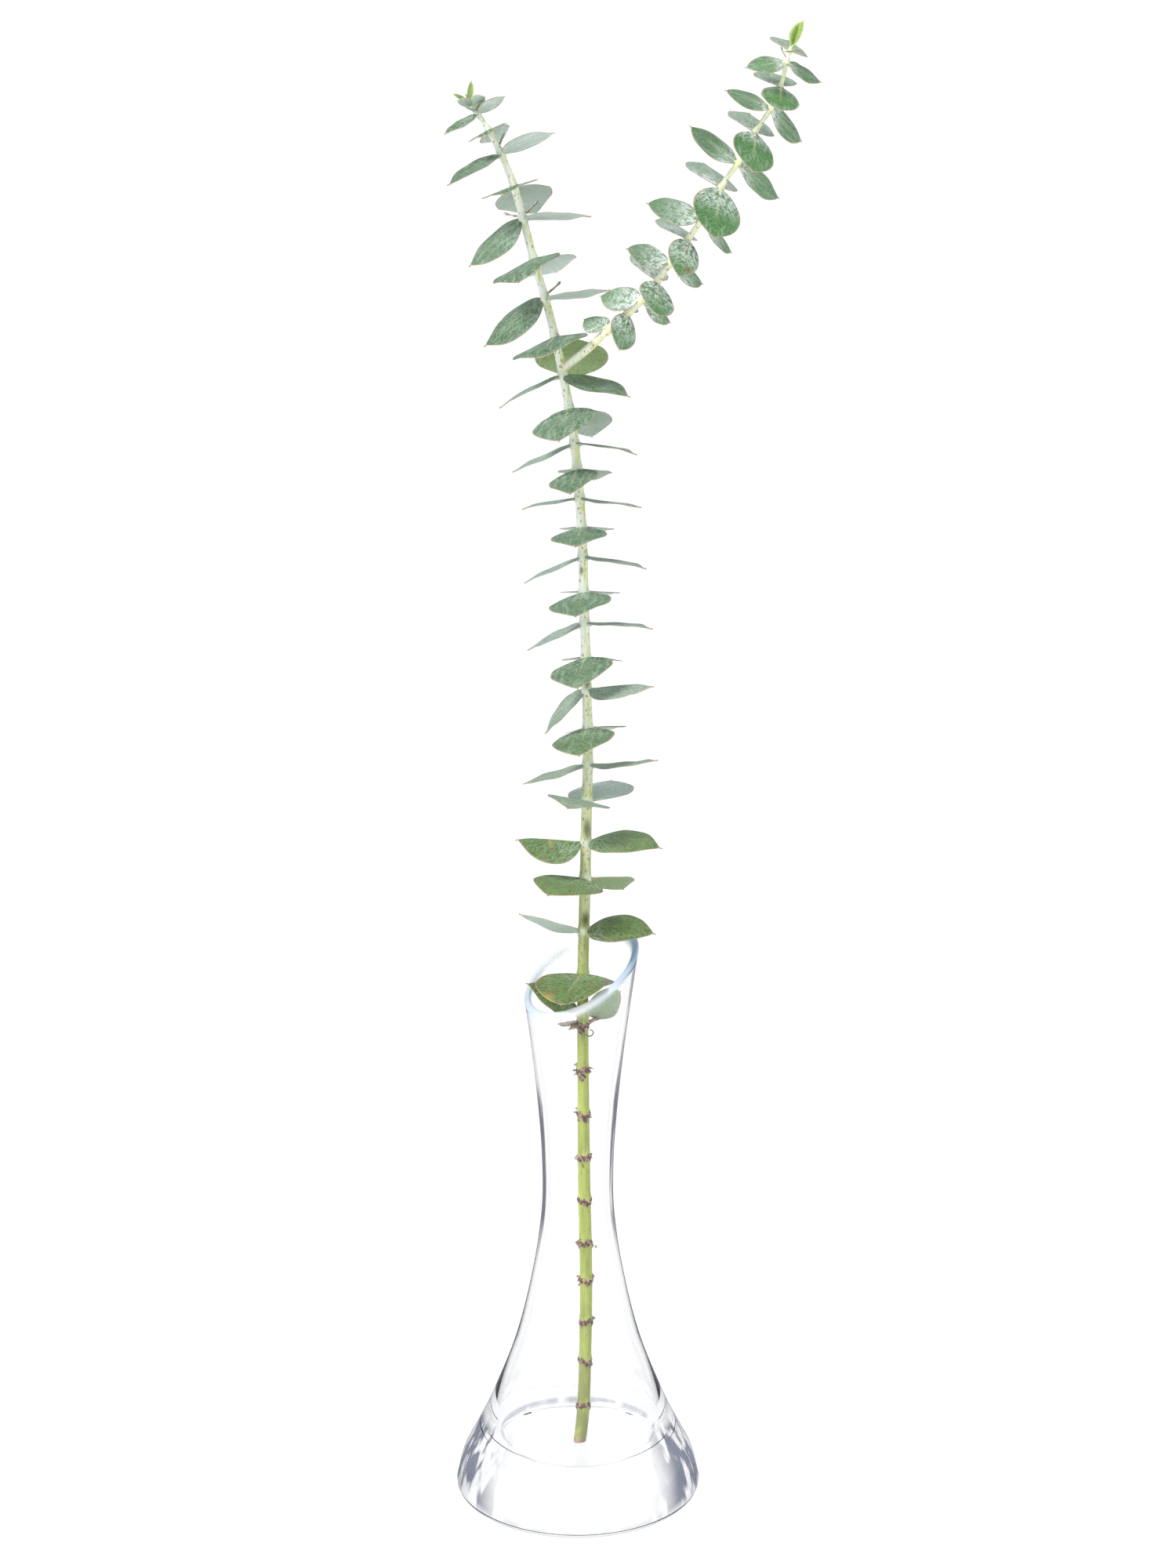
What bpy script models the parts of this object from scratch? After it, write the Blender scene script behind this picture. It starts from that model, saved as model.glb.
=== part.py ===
# Eucalyptus branch standing in a tapered glass vase whose mouth is cut on a slant.
# Metres, +Z up. The origin is the centre of the vase's base.
# Seen from the front, +X is right and +Y is away.

from math import cos, hypot, pi, radians, sin, tan

import bmesh
import bpy
from mathutils import Vector

MM = 0.001

# Vase, in millimetres: (height, radius) outside and inside, from the base to the highest point of the rim.
VASE_FOOT_RADIUS = 37.0
VASE_BELLY_RADIUS = 45.2
VASE_BELLY_HEIGHT = 6.0
VASE_OUTSIDE = (
    (6.0, 45.2),
    (16.0, 42.6),
    (25.0, 37.9),
    (37.0, 32.0),
    (60.0, 23.0),
    (85.0, 16.8),
    (106.0, 13.6),
    (120.0, 13.0),
    (140.0, 13.9),
    (168.0, 16.8),
    (194.0, 20.4),
    (216.0, 23.6),
)
VASE_FLOOR = ((15.4, 0.0), (16.0, 15.0), (17.6, 26.0))
VASE_INSIDE = (
    (21.0, 30.6),
    (27.0, 31.4),
    (37.0, 28.6),
    (60.0, 20.4),
    (85.0, 14.5),
    (106.0, 11.4),
    (120.0, 10.8),
    (140.0, 11.7),
    (168.0, 14.5),
    (194.0, 18.0),
    (216.0, 21.2),
)
RIM_HEIGHT = 196.8  # on the axis
RIM_RISE_RIGHT = 0.462  # slope of the rim's plane along +X
RIM_RISE_BACK = 0.553  # and along +Y
RIM_START = 150.0  # above this the rings tilt step by step into the rim's plane
VASE_SEGMENTS = 40
VASE_STEPS_BELOW = 10
VASE_STEPS_ABOVE = 5
LIP_STEPS = 3

# Main stem, in millimetres: the middle of the stem from its cut end on the vase's floor to the growing tip.
SEAT_GAP = 0.3
STEM_PATH = (
    (0.6, 0.0, 15.9),
    (2.1, 0.2, 33.0),
    (2.9, 0.5, 60.0),
    (3.0, 0.6, 81.0),
    (2.4, 0.4, 120.0),
    (1.9, 0.0, 165.0),
    (2.0, -0.3, 200.0),
    (3.1, -0.4, 250.0),
    (3.7, 0.0, 279.0),
    (2.5, 0.4, 327.0),
    (1.7, 0.4, 353.0),
    (0.4, 0.2, 373.0),
    (-1.7, 0.0, 393.0),
    (-5.6, 0.0, 414.0),
    (-9.8, 0.3, 432.5),
    (-15.3, 0.8, 451.5),
    (-21.8, 1.4, 475.6),
    (-27.3, 2.0, 489.0),
    (-32.4, 2.4, 498.0),
    (-38.2, 2.7, 505.4),
)
STEM_RADIUS = (
    (15.9, 2.4),
    (100.0, 2.25),
    (250.0, 1.9),
    (330.0, 1.7),
    (400.0, 1.6),
    (450.0, 1.4),
    (490.0, 1.1),
    (505.4, 0.6),
)
STEM_CUT_SLANT = 0.12
STEM_STEP = 12.0
SCAR_HEIGHTS = (32.9, 50.3, 65.4, 81.4, 95.6, 112.0, 128.4, 144.7, 161.4, 178.6)
SCAR_RISE = 0.45
SCAR_HALF_HEIGHT = 1.1

# Side shoot, in millimetres: it grows from the axil at 413 mm and leans right and forward.
SHOOT_PATH = (
    (-5.6, 0.0, 413.2),
    (2.4, -6.0, 419.0),
    (11.1, -12.0, 426.3),
    (21.7, -21.0, 435.0),
    (31.6, -32.0, 446.6),
    (40.7, -43.0, 458.5),
    (48.0, -53.0, 469.8),
    (52.7, -58.0, 476.0),
    (57.6, -65.0, 484.6),
    (61.3, -69.0, 489.7),
    (64.5, -74.0, 497.1),
    (65.8, -77.0, 503.0),
    (67.3, -79.0, 507.5),
)
SHOOT_RADIUS = ((413.2, 1.5), (435.0, 1.25), (476.0, 1.05), (507.5, 0.65))
SHOOT_STEP = 5.0
TUBE_SIDES = 8

# Leaf blades. A leaf is (turn, lift, length, width, roll, fold, arch), in millimetres and degrees.
# Turn is its direction from +X towards +Y and lift its angle above the horizontal.
# Roll is its twist about its own line and fold the rise of its halves, below zero like a tent.
# Arch is the rise of its middle as a share of its length; fold and arch may be left out.
BLADE_THICKNESS = 0.68
BLADE_ROOT_EXTRA = 0.7
BLADE_STEPS = 6
BLADE_ROUNDNESS = 0.62
BLADE_BELLY = 0.8
BLADE_ROOT_WIDTH = 0.1
BLADE_FOLD = -4.0
BLADE_ARCH = 0.0

STEM_LEAVES = (
    (181.9, (193, 32, 24.5, 17.0, -24, -10), (4, 32, 17.5, 14.0, -38, 0, -0.12)),
    (197.1, (250, -14, 26.0, 25.0, 0), (72, -28, 15.5, 20.0, 0)),
    (212.8, (172, 15, 24.5, 21.0, 22, 0, -0.08), (348, 1, 26.5, 24.0, 14, -4, 0.09)),
    (232.1, (238, -3, 25.0, 27.0, -8, 0), (52, -14, 24.0, 25.0, -16)),
    (245.0, (182, 4, 25.5, 21.0, -10, -32), (343, 0, 28.5, 24.0, 12, -4, 0.08)),
    (260.1, (254, 5, 24.0, 23.0, -10, 0), (68, 9, 25.0, 25.0, -4)),
    (273.5, (169, -16, 25.0, 22.0, -4), (345, 7, 26.0, 22.0, 0, -4, -0.04)),
    (286.8, (261, -17, 23.0, 23.0, 10), (74, -4, 22.0, 23.0, -8)),
    (300.4, (166, -44, 22.5, 20.0, -20, 6), (342, 6, 25.0, 23.0, 0, -20)),
    (312.2, (261, -22, 23.0, 23.0, 12), (76, -4, 22.0, 23.0, 0)),
    (324.2, (166, -23, 23.5, 22.0, -10, 0), (345, -2, 25.0, 22.0, 0, -2)),
    (335.4, (261, -17, 22.5, 22.5, 8), (76, -3, 21.0, 22.0, 0)),
    (347.9, (168, -22, 23.5, 21.0, -8, 0), (342, -8, 24.0, 21.0, 0, -2)),
    (358.4, (264, -14, 22.0, 20.0, 5), (78, -3, 20.0, 20.5, 0)),
    (368.6, (162, -8, 22.0, 20.0, -6), (339, -6, 23.5, 20.0, 0)),
    (378.8, (262, -21, 21.5, 18.0, 11), (72, -6, 20.0, 20.0, 0)),
    (387.8, (167, -22, 25.0, 20.0, -12, -2), (338, -8, 24.0, 20.0, 0)),
    (400.1, (259, -28, 24.0, 24.0, 14), (66, -22, 22.0, 24.0, -5)),
    (411.6, (166, -24, 26.0, 22.0, -13, -1), (339, -16, 26.5, 22.0, 13, -1)),
    (424.6, (259, -17, 24.0, 28.0, 16), (59, -30, 24.0, 28.0, -8)),
    (438.1, (168, -35, 27.8, 21.0, -24, -10), (342, 7, 24.0, 20.0, 0)),
    (451.5, (256, -22, 24.0, 26.0, 19), (70, -2, 22.0, 24.0, -17)),
    (465.5, (170, -38, 25.5, 21.0, -26, -10), (342, 1, 25.0, 20.0, 0)),
    (476.4, (261, -11, 20.0, 21.0, 17), (70, -15, 21.0, 21.0, -17)),
    (487.6, (190, -29, 22.0, 17.0, -17, 6), (340, 18, 21.0, 15.0, -17, 2)),
    (495.5, (266, -12, 14.0, 15.0, 25), (72, -6, 13.0, 13.0, -25)),
    (501.3, (195, -31, 14.0, 9.5, -12), (332, 25, 12.5, 8.0, -12)),
)
SHOOT_LEAVES = (
    (426.3, (140, 20, 12.0, 8.4, -14), (330, -12, 10.0, 8.0, 20)),
    (431.4, (251, -54, 16.7, 11.3, -56), (110, 33, 12.5, 12.5, 16)),
    (435.4, (156, 7, 16.0, 12.5, -46), (26, -33, 13.5, 12.0, 48)),
    (441.1, (270, -49, 16.7, 14.6, -36), (117, 42, 16.1, 16.5, 16)),
    (446.5, (190, 16, 16.0, 13.3, -44), (30, -26, 14.5, 13.0, 48)),
    (453.6, (250, -51, 17.4, 11.9, -46), (121, 31, 16.4, 16.9, 12)),
    (459.4, (183, 15, 19.2, 13.9, -44), (36, -38, 16.5, 14.0, 48)),
    (468.3, (254, -59, 20.4, 17.9, -42), (109, 34, 18.4, 20.6, 19)),
    (475.0, (175, 38, 19.8, 13.5, -35), (27, -32, 18.9, 15.8, 50)),
    (483.7, (262, -54, 17.4, 15.8, -38), (95, 33, 15.6, 17.2, 23)),
    (490.0, (183, 21, 15.6, 11.9, -36), (33, -35, 15.8, 12.5, 60)),
    (496.1, (266, -43, 13.7, 12.7, -19), (107, 33, 11.7, 15.0, 6)),
    (502.6, (191, -9, 13.5, 10.3, -40), (18, -24, 13.1, 10.7, 41)),
    (505.8, (280, -14, 7.0, 6.0, 5), (88, 31, 9.8, 13.5, 26)),
)

# Young leaflets at the growing tips and shrivelled scraps at the lowest ring: (height, leaf).
STEM_LEAFLETS = (
    (504.4, (200, 12, 6.0, 3.6, 20)),
    (504.4, (20, 30, 5.5, 3.6, -10)),
    (505.0, (60, 75, 8.0, 3.4, 60)),
    (505.0, (215, 22, 6.5, 2.8, 30)),
    (505.0, (160, 40, 5.5, 2.6, 30)),
    (178.4, (186, -6, 9.5, 4.0, 30)),
    (178.4, (348, 22, 7.0, 3.2, -30)),
)
SHOOT_LEAFLETS = (
    (507.0, (340, 66, 8.6, 4.6, 60)),
    (507.0, (0, 72, 7.6, 3.6, -30)),
)

# Axillary twigs, in millimetres: (height, turn, lift, length, radius).
STEM_TWIGS = (
    (439.0, 350, 32, 7.5, 0.55),
    (466.0, 172, 4, 7.0, 0.5),
    (466.4, 352, 36, 7.5, 0.5),
    (488.6, 340, 66, 7.0, 0.5),
    (95.2, 350, -20, 4.4, 0.6),
    (175.4, 20, -24, 5.0, 0.5),
)
SHOOT_TWIGS = ((503.2, 170, 55, 4.6, 0.45),)


def clear_scene():
    for existing in list(bpy.data.objects):
        bpy.data.objects.remove(existing)


def material(name, colour, roughness, metallic=0.0, alpha=1.0, transmission=0.0):
    made = bpy.data.materials.new(name)
    made.use_nodes = True
    shader = made.node_tree.nodes["Principled BSDF"]
    shader.inputs["Base Color"].default_value = (*colour, 1.0)
    shader.inputs["Roughness"].default_value = roughness
    shader.inputs["Metallic"].default_value = metallic
    shader.inputs["Alpha"].default_value = alpha
    shader.inputs["Transmission Weight"].default_value = transmission
    return made


def new_object(name, mesh, finish=None):
    made = bpy.data.objects.new(name, mesh)
    bpy.context.scene.collection.objects.link(made)
    if finish:
        mesh.materials.append(finish)
    return made


def hermite(before, start, end, after, x):
    """Smooth value at x between the pairs start and end, with slopes taken from their neighbours."""
    span = end[0] - start[0]
    t = (x - start[0]) / span
    slope_start = (end[1] - before[1]) / (end[0] - before[0]) * span
    slope_end = (after[1] - start[1]) / (after[0] - start[0]) * span
    rise = end[1] - start[1]
    return start[1] + t * slope_start + t * t * (
        (3.0 * rise - 2.0 * slope_start - slope_end) + t * (slope_start + slope_end - 2.0 * rise)
    )


def smooth_value(table, x):
    """Reads a smooth curve through the (x, value) pairs of a table, held flat past its ends."""
    if x <= table[0][0]:
        return table[0][1]
    if x >= table[-1][0]:
        return table[-1][1]
    i = max(k for k in range(len(table) - 1) if table[k][0] <= x)
    return hermite(table[max(i - 1, 0)], table[i], table[i + 1], table[min(i + 2, len(table) - 1)], x)


def path_point(path, height):
    across = [(z, x) for x, y, z in path]
    away = [(z, y) for x, y, z in path]
    return Vector((smooth_value(across, height), smooth_value(away, height), height)) * MM


def rim_height(turn, profile):
    """Height of the slanted rim's plane where it meets the profile in the direction turn."""
    height = RIM_HEIGHT
    for _ in range(6):
        radius = smooth_value(profile, height)
        height = RIM_HEIGHT + radius * (RIM_RISE_RIGHT * cos(turn) + RIM_RISE_BACK * sin(turn))
    return height


def vase_column(turn):
    """(radius, height) pairs of one half section, from the foot's edge over the lip to the floor's edge."""
    column = []
    for step in range(3):
        swing = step / 3 * pi / 2
        radius = VASE_FOOT_RADIUS + (VASE_BELLY_RADIUS - VASE_FOOT_RADIUS) * sin(swing)
        column.append((radius, VASE_BELLY_HEIGHT * (1.0 - cos(swing))))

    def wall(profile, low, wall_top):
        heights = [low + (RIM_START - low) * (i / VASE_STEPS_BELOW) ** 0.9 for i in range(VASE_STEPS_BELOW)]
        slanted = wall_top - RIM_START
        heights += [RIM_START + slanted * i / VASE_STEPS_ABOVE for i in range(VASE_STEPS_ABOVE + 1)]
        return [(smooth_value(profile, z), z) for z in heights]

    outside_top = rim_height(turn, VASE_OUTSIDE) - 1.0
    inside_top = rim_height(turn, VASE_INSIDE) - 1.0
    outside = wall(VASE_OUTSIDE, VASE_BELLY_HEIGHT, outside_top)
    inside = wall(VASE_INSIDE, VASE_INSIDE[0][0], inside_top)
    column += outside
    outer, inner = outside[-1], inside[-1]
    half_wall = hypot(outer[0] - inner[0], outer[1] - inner[1]) / 2
    for step in range(1, LIP_STEPS):
        share = step / LIP_STEPS
        radius = outer[0] + (inner[0] - outer[0]) * share
        height = outer[1] + (inner[1] - outer[1]) * share + half_wall * sin(pi * share)
        column.append((radius, height))
    column += reversed(inside)
    column += [(radius, height) for height, radius in reversed(VASE_FLOOR[1:])]
    return column


def build_vase():
    columns = [vase_column(2 * pi * i / VASE_SEGMENTS) for i in range(VASE_SEGMENTS)]
    bm = bmesh.new()
    rows = []
    for i, column in enumerate(columns):
        turn = 2 * pi * i / VASE_SEGMENTS
        rows.append([bm.verts.new(Vector((r * cos(turn), r * sin(turn), z)) * MM) for r, z in column])
    foot_centre = bm.verts.new((0.0, 0.0, 0.0))
    floor_centre = bm.verts.new((0.0, 0.0, VASE_FLOOR[0][0] * MM))
    for i, row in enumerate(rows):
        beside = rows[(i + 1) % VASE_SEGMENTS]
        bm.faces.new((foot_centre, beside[0], row[0]))
        bm.faces.new((floor_centre, row[-1], beside[-1]))
        for low, high, side_low, side_high in zip(row, row[1:], beside, beside[1:]):
            bm.faces.new((low, side_low, side_high, high))
    bmesh.ops.recalc_face_normals(bm, faces=bm.faces)
    mesh = bpy.data.meshes.new("vase")
    bm.to_mesh(mesh)
    bm.free()
    mesh.shade_smooth()
    mesh.set_sharp_from_angle(angle=radians(50))
    finish = material("clear_glass", (0.86, 0.91, 0.95), 0.03, alpha=0.35, transmission=0.9)
    return new_object("vase", mesh, finish)


def tube(name, centres, radii, end_slant=0.0):
    """A closed round tube through the centres; end_slant tilts its first, cut end."""
    bm = bmesh.new()
    rings = []
    for i, centre in enumerate(centres):
        ahead = centres[min(i + 1, len(centres) - 1)] - centres[max(i - 1, 0)]
        along = ahead.normalized()
        side = Vector((0.0, 1.0, 0.0)).cross(along).normalized()
        front = along.cross(side)
        ring = []
        for k in range(TUBE_SIDES):
            swing = 2 * pi * k / TUBE_SIDES
            offset = side * cos(swing) + front * sin(swing)
            slant = along * (end_slant * radii[i] * (1.0 + cos(swing))) if i == 0 else Vector()
            ring.append(bm.verts.new(centre + offset * radii[i] + slant))
        rings.append(ring)
    for low, high in zip(rings, rings[1:]):
        for k in range(TUBE_SIDES):
            after = (k + 1) % TUBE_SIDES
            bm.faces.new((low[k], low[after], high[after], high[k]))
    bm.faces.new(list(reversed(rings[0])))
    bm.faces.new(rings[-1])
    bmesh.ops.recalc_face_normals(bm, faces=bm.faces)
    mesh = bpy.data.meshes.new(name)
    bm.to_mesh(mesh)
    bm.free()
    return new_object(name, mesh)


def leaf_frame(turn, lift, roll):
    """Unit vectors along a leaf, across it and out of its upper face."""
    turn, lift, roll = radians(turn), radians(lift), radians(roll)
    along = Vector((cos(lift) * cos(turn), cos(lift) * sin(turn), sin(lift)))
    level = Vector((-sin(turn), cos(turn), 0.0))
    upright = along.cross(level)
    across = level * cos(roll) + upright * sin(roll)
    return along, across, along.cross(across)


def blade_width(u):
    """Half width of a leaf's round outline as a share of its widest, 0 at the root and at the point."""
    return sin(pi * u**BLADE_BELLY) ** BLADE_ROUNDNESS


def leaf(name, root, turn, lift, length, width, roll, fold=BLADE_FOLD, arch=BLADE_ARCH):
    """One closed leaf blade with three lines of points, its root sunk past the middle of the stem."""
    along, across, out = leaf_frame(turn, lift, roll)
    bm = bmesh.new()
    upper, lower = [], []
    for step in range(BLADE_STEPS + 1):
        u = 0.5 * (1.0 - cos(pi * step / BLADE_STEPS)) * 0.5 + 0.5 * step / BLADE_STEPS
        half = width / 2 * (blade_width(u) if step < BLADE_STEPS else 0.0)
        if step == 0:
            half = width * BLADE_ROOT_WIDTH
            u = -0.6 / length
        rise = arch * length * 4.0 * u * (1.0 - u)
        thick = BLADE_THICKNESS + BLADE_ROOT_EXTRA * max(0.0, 1.0 - u / 0.2)
        tip = step == BLADE_STEPS
        for faces, side in ((upper, 0.5), (lower, -0.5)):
            points = []
            for v in (0.0,) if tip else (-half, 0.0, half):
                lift_off = rise + abs(v) * tan(radians(fold)) + side * thick
                offset = along * (u * length) + across * v + out * lift_off
                points.append(bm.verts.new(root + offset * MM))
            faces.append(points)
    for step in range(BLADE_STEPS):
        close_strip(bm, upper[step], upper[step + 1], lower[step], lower[step + 1])
    bm.faces.new((upper[0][0], upper[0][1], lower[0][1], lower[0][0]))
    bm.faces.new((upper[0][1], upper[0][2], lower[0][2], lower[0][1]))
    bmesh.ops.recalc_face_normals(bm, faces=bm.faces)
    mesh = bpy.data.meshes.new(name)
    bm.to_mesh(mesh)
    bm.free()
    return new_object(name, mesh)


def close_strip(bm, near, far, near_under, far_under):
    """Joins two stations of a blade: both faces split alike, and the edge walls."""
    for face_near, face_far in ((near, far), (near_under, far_under)):
        for k in range(2):
            if len(face_far) == 1:
                bm.faces.new((face_near[k], face_near[k + 1], face_far[0]))
            else:
                bm.faces.new((face_near[k], face_near[k + 1], face_far[k + 1]))
                bm.faces.new((face_near[k], face_far[k + 1], face_far[k]))
    for k in (0, -1):
        bm.faces.new((near[k], far[k], far_under[k], near_under[k]))


def twig(name, path, shape):
    height, turn, lift, length, radius = shape
    along = leaf_frame(turn, lift, 0.0)[0]
    root = path_point(path, height)
    centres = [root, root + along * (length * 0.8 * MM), root + along * (length * MM)]
    return tube(name, centres, [radius * MM, radius * MM, radius * 0.6 * MM])


def stem_tube(name, path, radii, step, scars=()):
    low, high = path[0][2], path[-1][2]
    count = round((high - low) / step)
    plain = [low + (high - low) * i / count for i in range(count + 1)]
    clear_of_scars = [z for z in plain if all(abs(z - scar) > 2.5 * SCAR_HALF_HEIGHT for scar in scars)]
    rings = [(z, 0.0) for z in clear_of_scars]
    for scar in scars:
        rings += [(scar - SCAR_HALF_HEIGHT, 0.0), (scar, SCAR_RISE), (scar + SCAR_HALF_HEIGHT, 0.0)]
    rings.sort()
    centres = [path_point(path, z) for z, rise in rings]
    widths = [(smooth_value(radii, z) + rise) * MM for z, rise in rings]
    return tube(name, centres, widths, STEM_CUT_SLANT if scars else 0.0)


def leafy_stem(name, path, stem, leaves, leaflets, twigs, finish):
    """Fuses a stem with its leaf pairs, leaflets and twigs into one solid."""
    growth = bpy.data.collections.new(name + "_growth")
    bpy.context.scene.collection.children.link(growth)
    grown = []
    for height, *pair in leaves:
        grown += [leaf(f"{name}_leaf", path_point(path, height), *shape) for shape in pair]
    grown += [leaf(f"{name}_leaflet", path_point(path, height), *shape) for height, shape in leaflets]
    grown += [twig(f"{name}_twig", path, shape) for shape in twigs]
    for piece in grown:
        bpy.context.scene.collection.objects.unlink(piece)
        growth.objects.link(piece)
    join = stem.modifiers.new("grow", "BOOLEAN")
    join.operation = "UNION"
    join.operand_type = "COLLECTION"
    join.collection = growth
    join.solver = "EXACT"
    apply_modifiers(stem)
    for piece in grown:
        bpy.data.objects.remove(piece)
    bpy.data.collections.remove(growth)
    stem.data.materials.clear()
    stem.data.materials.append(finish)
    stem.data.shade_smooth()
    stem.data.set_sharp_from_angle(angle=radians(40))
    return stem


def apply_modifiers(piece):
    evaluated = piece.evaluated_get(bpy.context.evaluated_depsgraph_get())
    plain = piece.data
    piece.data = bpy.data.meshes.new_from_object(evaluated)
    piece.data.name = plain.name
    piece.modifiers.clear()
    bpy.data.meshes.remove(plain)


def build_main_stem():
    stem = stem_tube("main_stem", STEM_PATH, STEM_RADIUS, STEM_STEP, SCAR_HEIGHTS)
    finish = material("stem_and_leaves", (0.20, 0.33, 0.20), 0.55)
    return leafy_stem("main_stem", STEM_PATH, stem, STEM_LEAVES, STEM_LEAFLETS, STEM_TWIGS, finish)


def build_side_shoot():
    stem = stem_tube("side_shoot", SHOOT_PATH, SHOOT_RADIUS, SHOOT_STEP)
    finish = material("shoot_and_leaves", (0.22, 0.38, 0.22), 0.55)
    shoot = leafy_stem("side_shoot", SHOOT_PATH, stem, SHOOT_LEAVES, SHOOT_LEAFLETS, SHOOT_TWIGS, finish)
    seat_radii = tuple((height, radius + SEAT_GAP) for height, radius in STEM_RADIUS)
    seat_path = tuple(point for point in STEM_PATH if 380.0 < point[2] < 460.0)
    seat = stem_tube("shoot_seat", seat_path, seat_radii, STEM_STEP / 2)
    seat.hide_render = True
    seat.display_type = "WIRE"
    cut = shoot.modifiers.new("seat", "BOOLEAN")
    cut.operation = "DIFFERENCE"
    cut.solver = "EXACT"
    cut.object = seat
    apply_modifiers(shoot)
    bpy.data.objects.remove(seat)
    return shoot


clear_scene()
build_vase()
build_main_stem()
build_side_shoot()
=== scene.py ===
# Eucalyptus branch standing in a tapered glass vase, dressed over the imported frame.
# Lengths in the tables are millimetres; +X is right, +Y is away and +Z is up.
import random
from math import cos, exp, hypot, pi, radians, sin, tan

import bpy
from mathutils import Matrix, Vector


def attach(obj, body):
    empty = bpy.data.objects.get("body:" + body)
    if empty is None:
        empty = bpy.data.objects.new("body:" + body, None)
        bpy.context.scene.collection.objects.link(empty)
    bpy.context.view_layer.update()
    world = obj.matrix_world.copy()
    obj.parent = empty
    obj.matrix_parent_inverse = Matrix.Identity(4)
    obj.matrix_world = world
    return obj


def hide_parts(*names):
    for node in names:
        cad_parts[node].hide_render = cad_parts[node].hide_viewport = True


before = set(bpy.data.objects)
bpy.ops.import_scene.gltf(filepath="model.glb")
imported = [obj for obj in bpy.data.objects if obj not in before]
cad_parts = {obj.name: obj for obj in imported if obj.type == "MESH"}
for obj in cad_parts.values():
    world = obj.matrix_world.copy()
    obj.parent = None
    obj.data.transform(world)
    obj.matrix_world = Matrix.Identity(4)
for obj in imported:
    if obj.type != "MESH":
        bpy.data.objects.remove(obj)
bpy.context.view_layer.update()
mm = 0.001
print("frame loaded with", len(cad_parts), "nodes")


# shader maths


class Field:
    # one socket's value, so that shader maths reads like arithmetic
    def __init__(self, paint, socket):
        self.paint = paint
        self.socket = socket

    def math(self, operation, *others):
        sockets = dict(enumerate((self, *others)))
        return self.paint.make("Math", {"operation": operation}, sockets)

    def __add__(self, other):
        return self.math("ADD", other)

    __radd__ = __add__

    def __mul__(self, other):
        return self.math("MULTIPLY", other)

    __rmul__ = __mul__

    def __sub__(self, other):
        return self.math("SUBTRACT", other)

    def __rsub__(self, other):
        return self.paint.make("Math", {"operation": "SUBTRACT"}, {0: other, 1: self})

    def __truediv__(self, other):
        return self.math("DIVIDE", other)

    def band(self, low, high):
        # 0 at low, 1 at high, eased between; low may be the larger
        t = (self - low) / (high - low)
        return self.paint.make("MapRange", {"interpolation_type": "SMOOTHSTEP"}, {"Value": t})


class Paint:
    # one material, or the world, and the few node calls that it is written with
    def __init__(self, name, store=bpy.data.materials, shader="Principled BSDF", output="Material Output"):
        self.holder = store.new(name)
        self.holder.use_nodes = True
        self.tree = self.holder.node_tree
        self.shader = self.tree.nodes[shader]
        self.whole = Field(self, self.shader.outputs[0])
        self.output = self.tree.nodes[output].inputs["Surface"]

    def make(self, kind, settings=None, sockets=None, output=0):
        node = self.tree.nodes.new("ShaderNode" + kind)
        for name, value in (settings or {}).items():
            setattr(node, name, value)
        for key, value in (sockets or {}).items():
            self.feed(node.inputs[key], value)
        return Field(self, node.outputs[output])

    def feed(self, socket, value):
        if isinstance(value, Field):
            self.tree.links.new(value.socket, socket)
        elif isinstance(value, tuple) and socket.type == "RGBA":
            socket.default_value = (*value, 1.0)
        else:
            socket.default_value = value

    def mark(self, name, output="Fac"):
        return self.make("Attribute", {"attribute_name": name}, output=output)

    def noise(self, where, scale, detail=3.0, roughness=0.55):
        sockets = {"Vector": where, "Scale": scale, "Detail": detail, "Roughness": roughness}
        return self.make("TexNoise", None, sockets)

    def mix(self, below, above, share):
        # share 0 shows the colour below, 1 the colour above
        sockets = {0: share, 6: below, 7: above}
        return self.make("Mix", {"data_type": "RGBA"}, sockets, output=2)

    def join(self, *parts):
        # a vector from up to three numbers
        return self.make("CombineXYZ", None, dict(enumerate(parts)))

    def stretch(self, where, amounts):
        return self.make("VectorMath", {"operation": "MULTIPLY"}, {0: where, 1: amounts})

    def bump(self, height, strength, distance):
        sockets = {"Height": height, "Strength": strength, "Distance": distance}
        self.feed(self.shader.inputs["Normal"], self.make("Bump", None, sockets))

    def set(self, **values):
        for name, value in values.items():
            self.feed(self.shader.inputs[name.replace("_", " ")], value)


# mesh helpers


class Growth:
    # points, faces and named marks of one piece while it is being made
    def __init__(self, *marks):
        self.points = []
        self.faces = []
        self.marks = {name: [] for name in marks}

    def point(self, place, **marks):
        self.points.append(place * mm)
        for name, values in self.marks.items():
            values.append(marks.get(name, 0.0))
        return len(self.points) - 1

    def piece(self, name, paint, node):
        mesh = bpy.data.meshes.new(name)
        mesh.from_pydata([tuple(point) for point in self.points], [], self.faces)
        for mark, values in self.marks.items():
            if isinstance(values[0], Vector):
                layer = mesh.attributes.new(mark, "FLOAT_VECTOR", "POINT")
                layer.data.foreach_set("vector", [part for value in values for part in value])
            else:
                mesh.attributes.new(mark, "FLOAT", "POINT").data.foreach_set("value", values)
        mesh.materials.append(paint.holder)
        mesh.shade_smooth()
        made = bpy.data.objects.new(name, mesh)
        bpy.context.scene.collection.objects.link(made)
        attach(made, "root")
        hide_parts(node)


def hermite(before, start, end, after, x):
    span = end[0] - start[0]
    t = (x - start[0]) / span
    slopeStart = (end[1] - before[1]) / (end[0] - before[0]) * span
    slopeEnd = (after[1] - start[1]) / (after[0] - start[0]) * span
    rise = end[1] - start[1]
    return start[1] + t * slopeStart + t * t * (
        (3.0 * rise - 2.0 * slopeStart - slopeEnd) + t * (slopeStart + slopeEnd - 2.0 * rise)
    )


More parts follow.
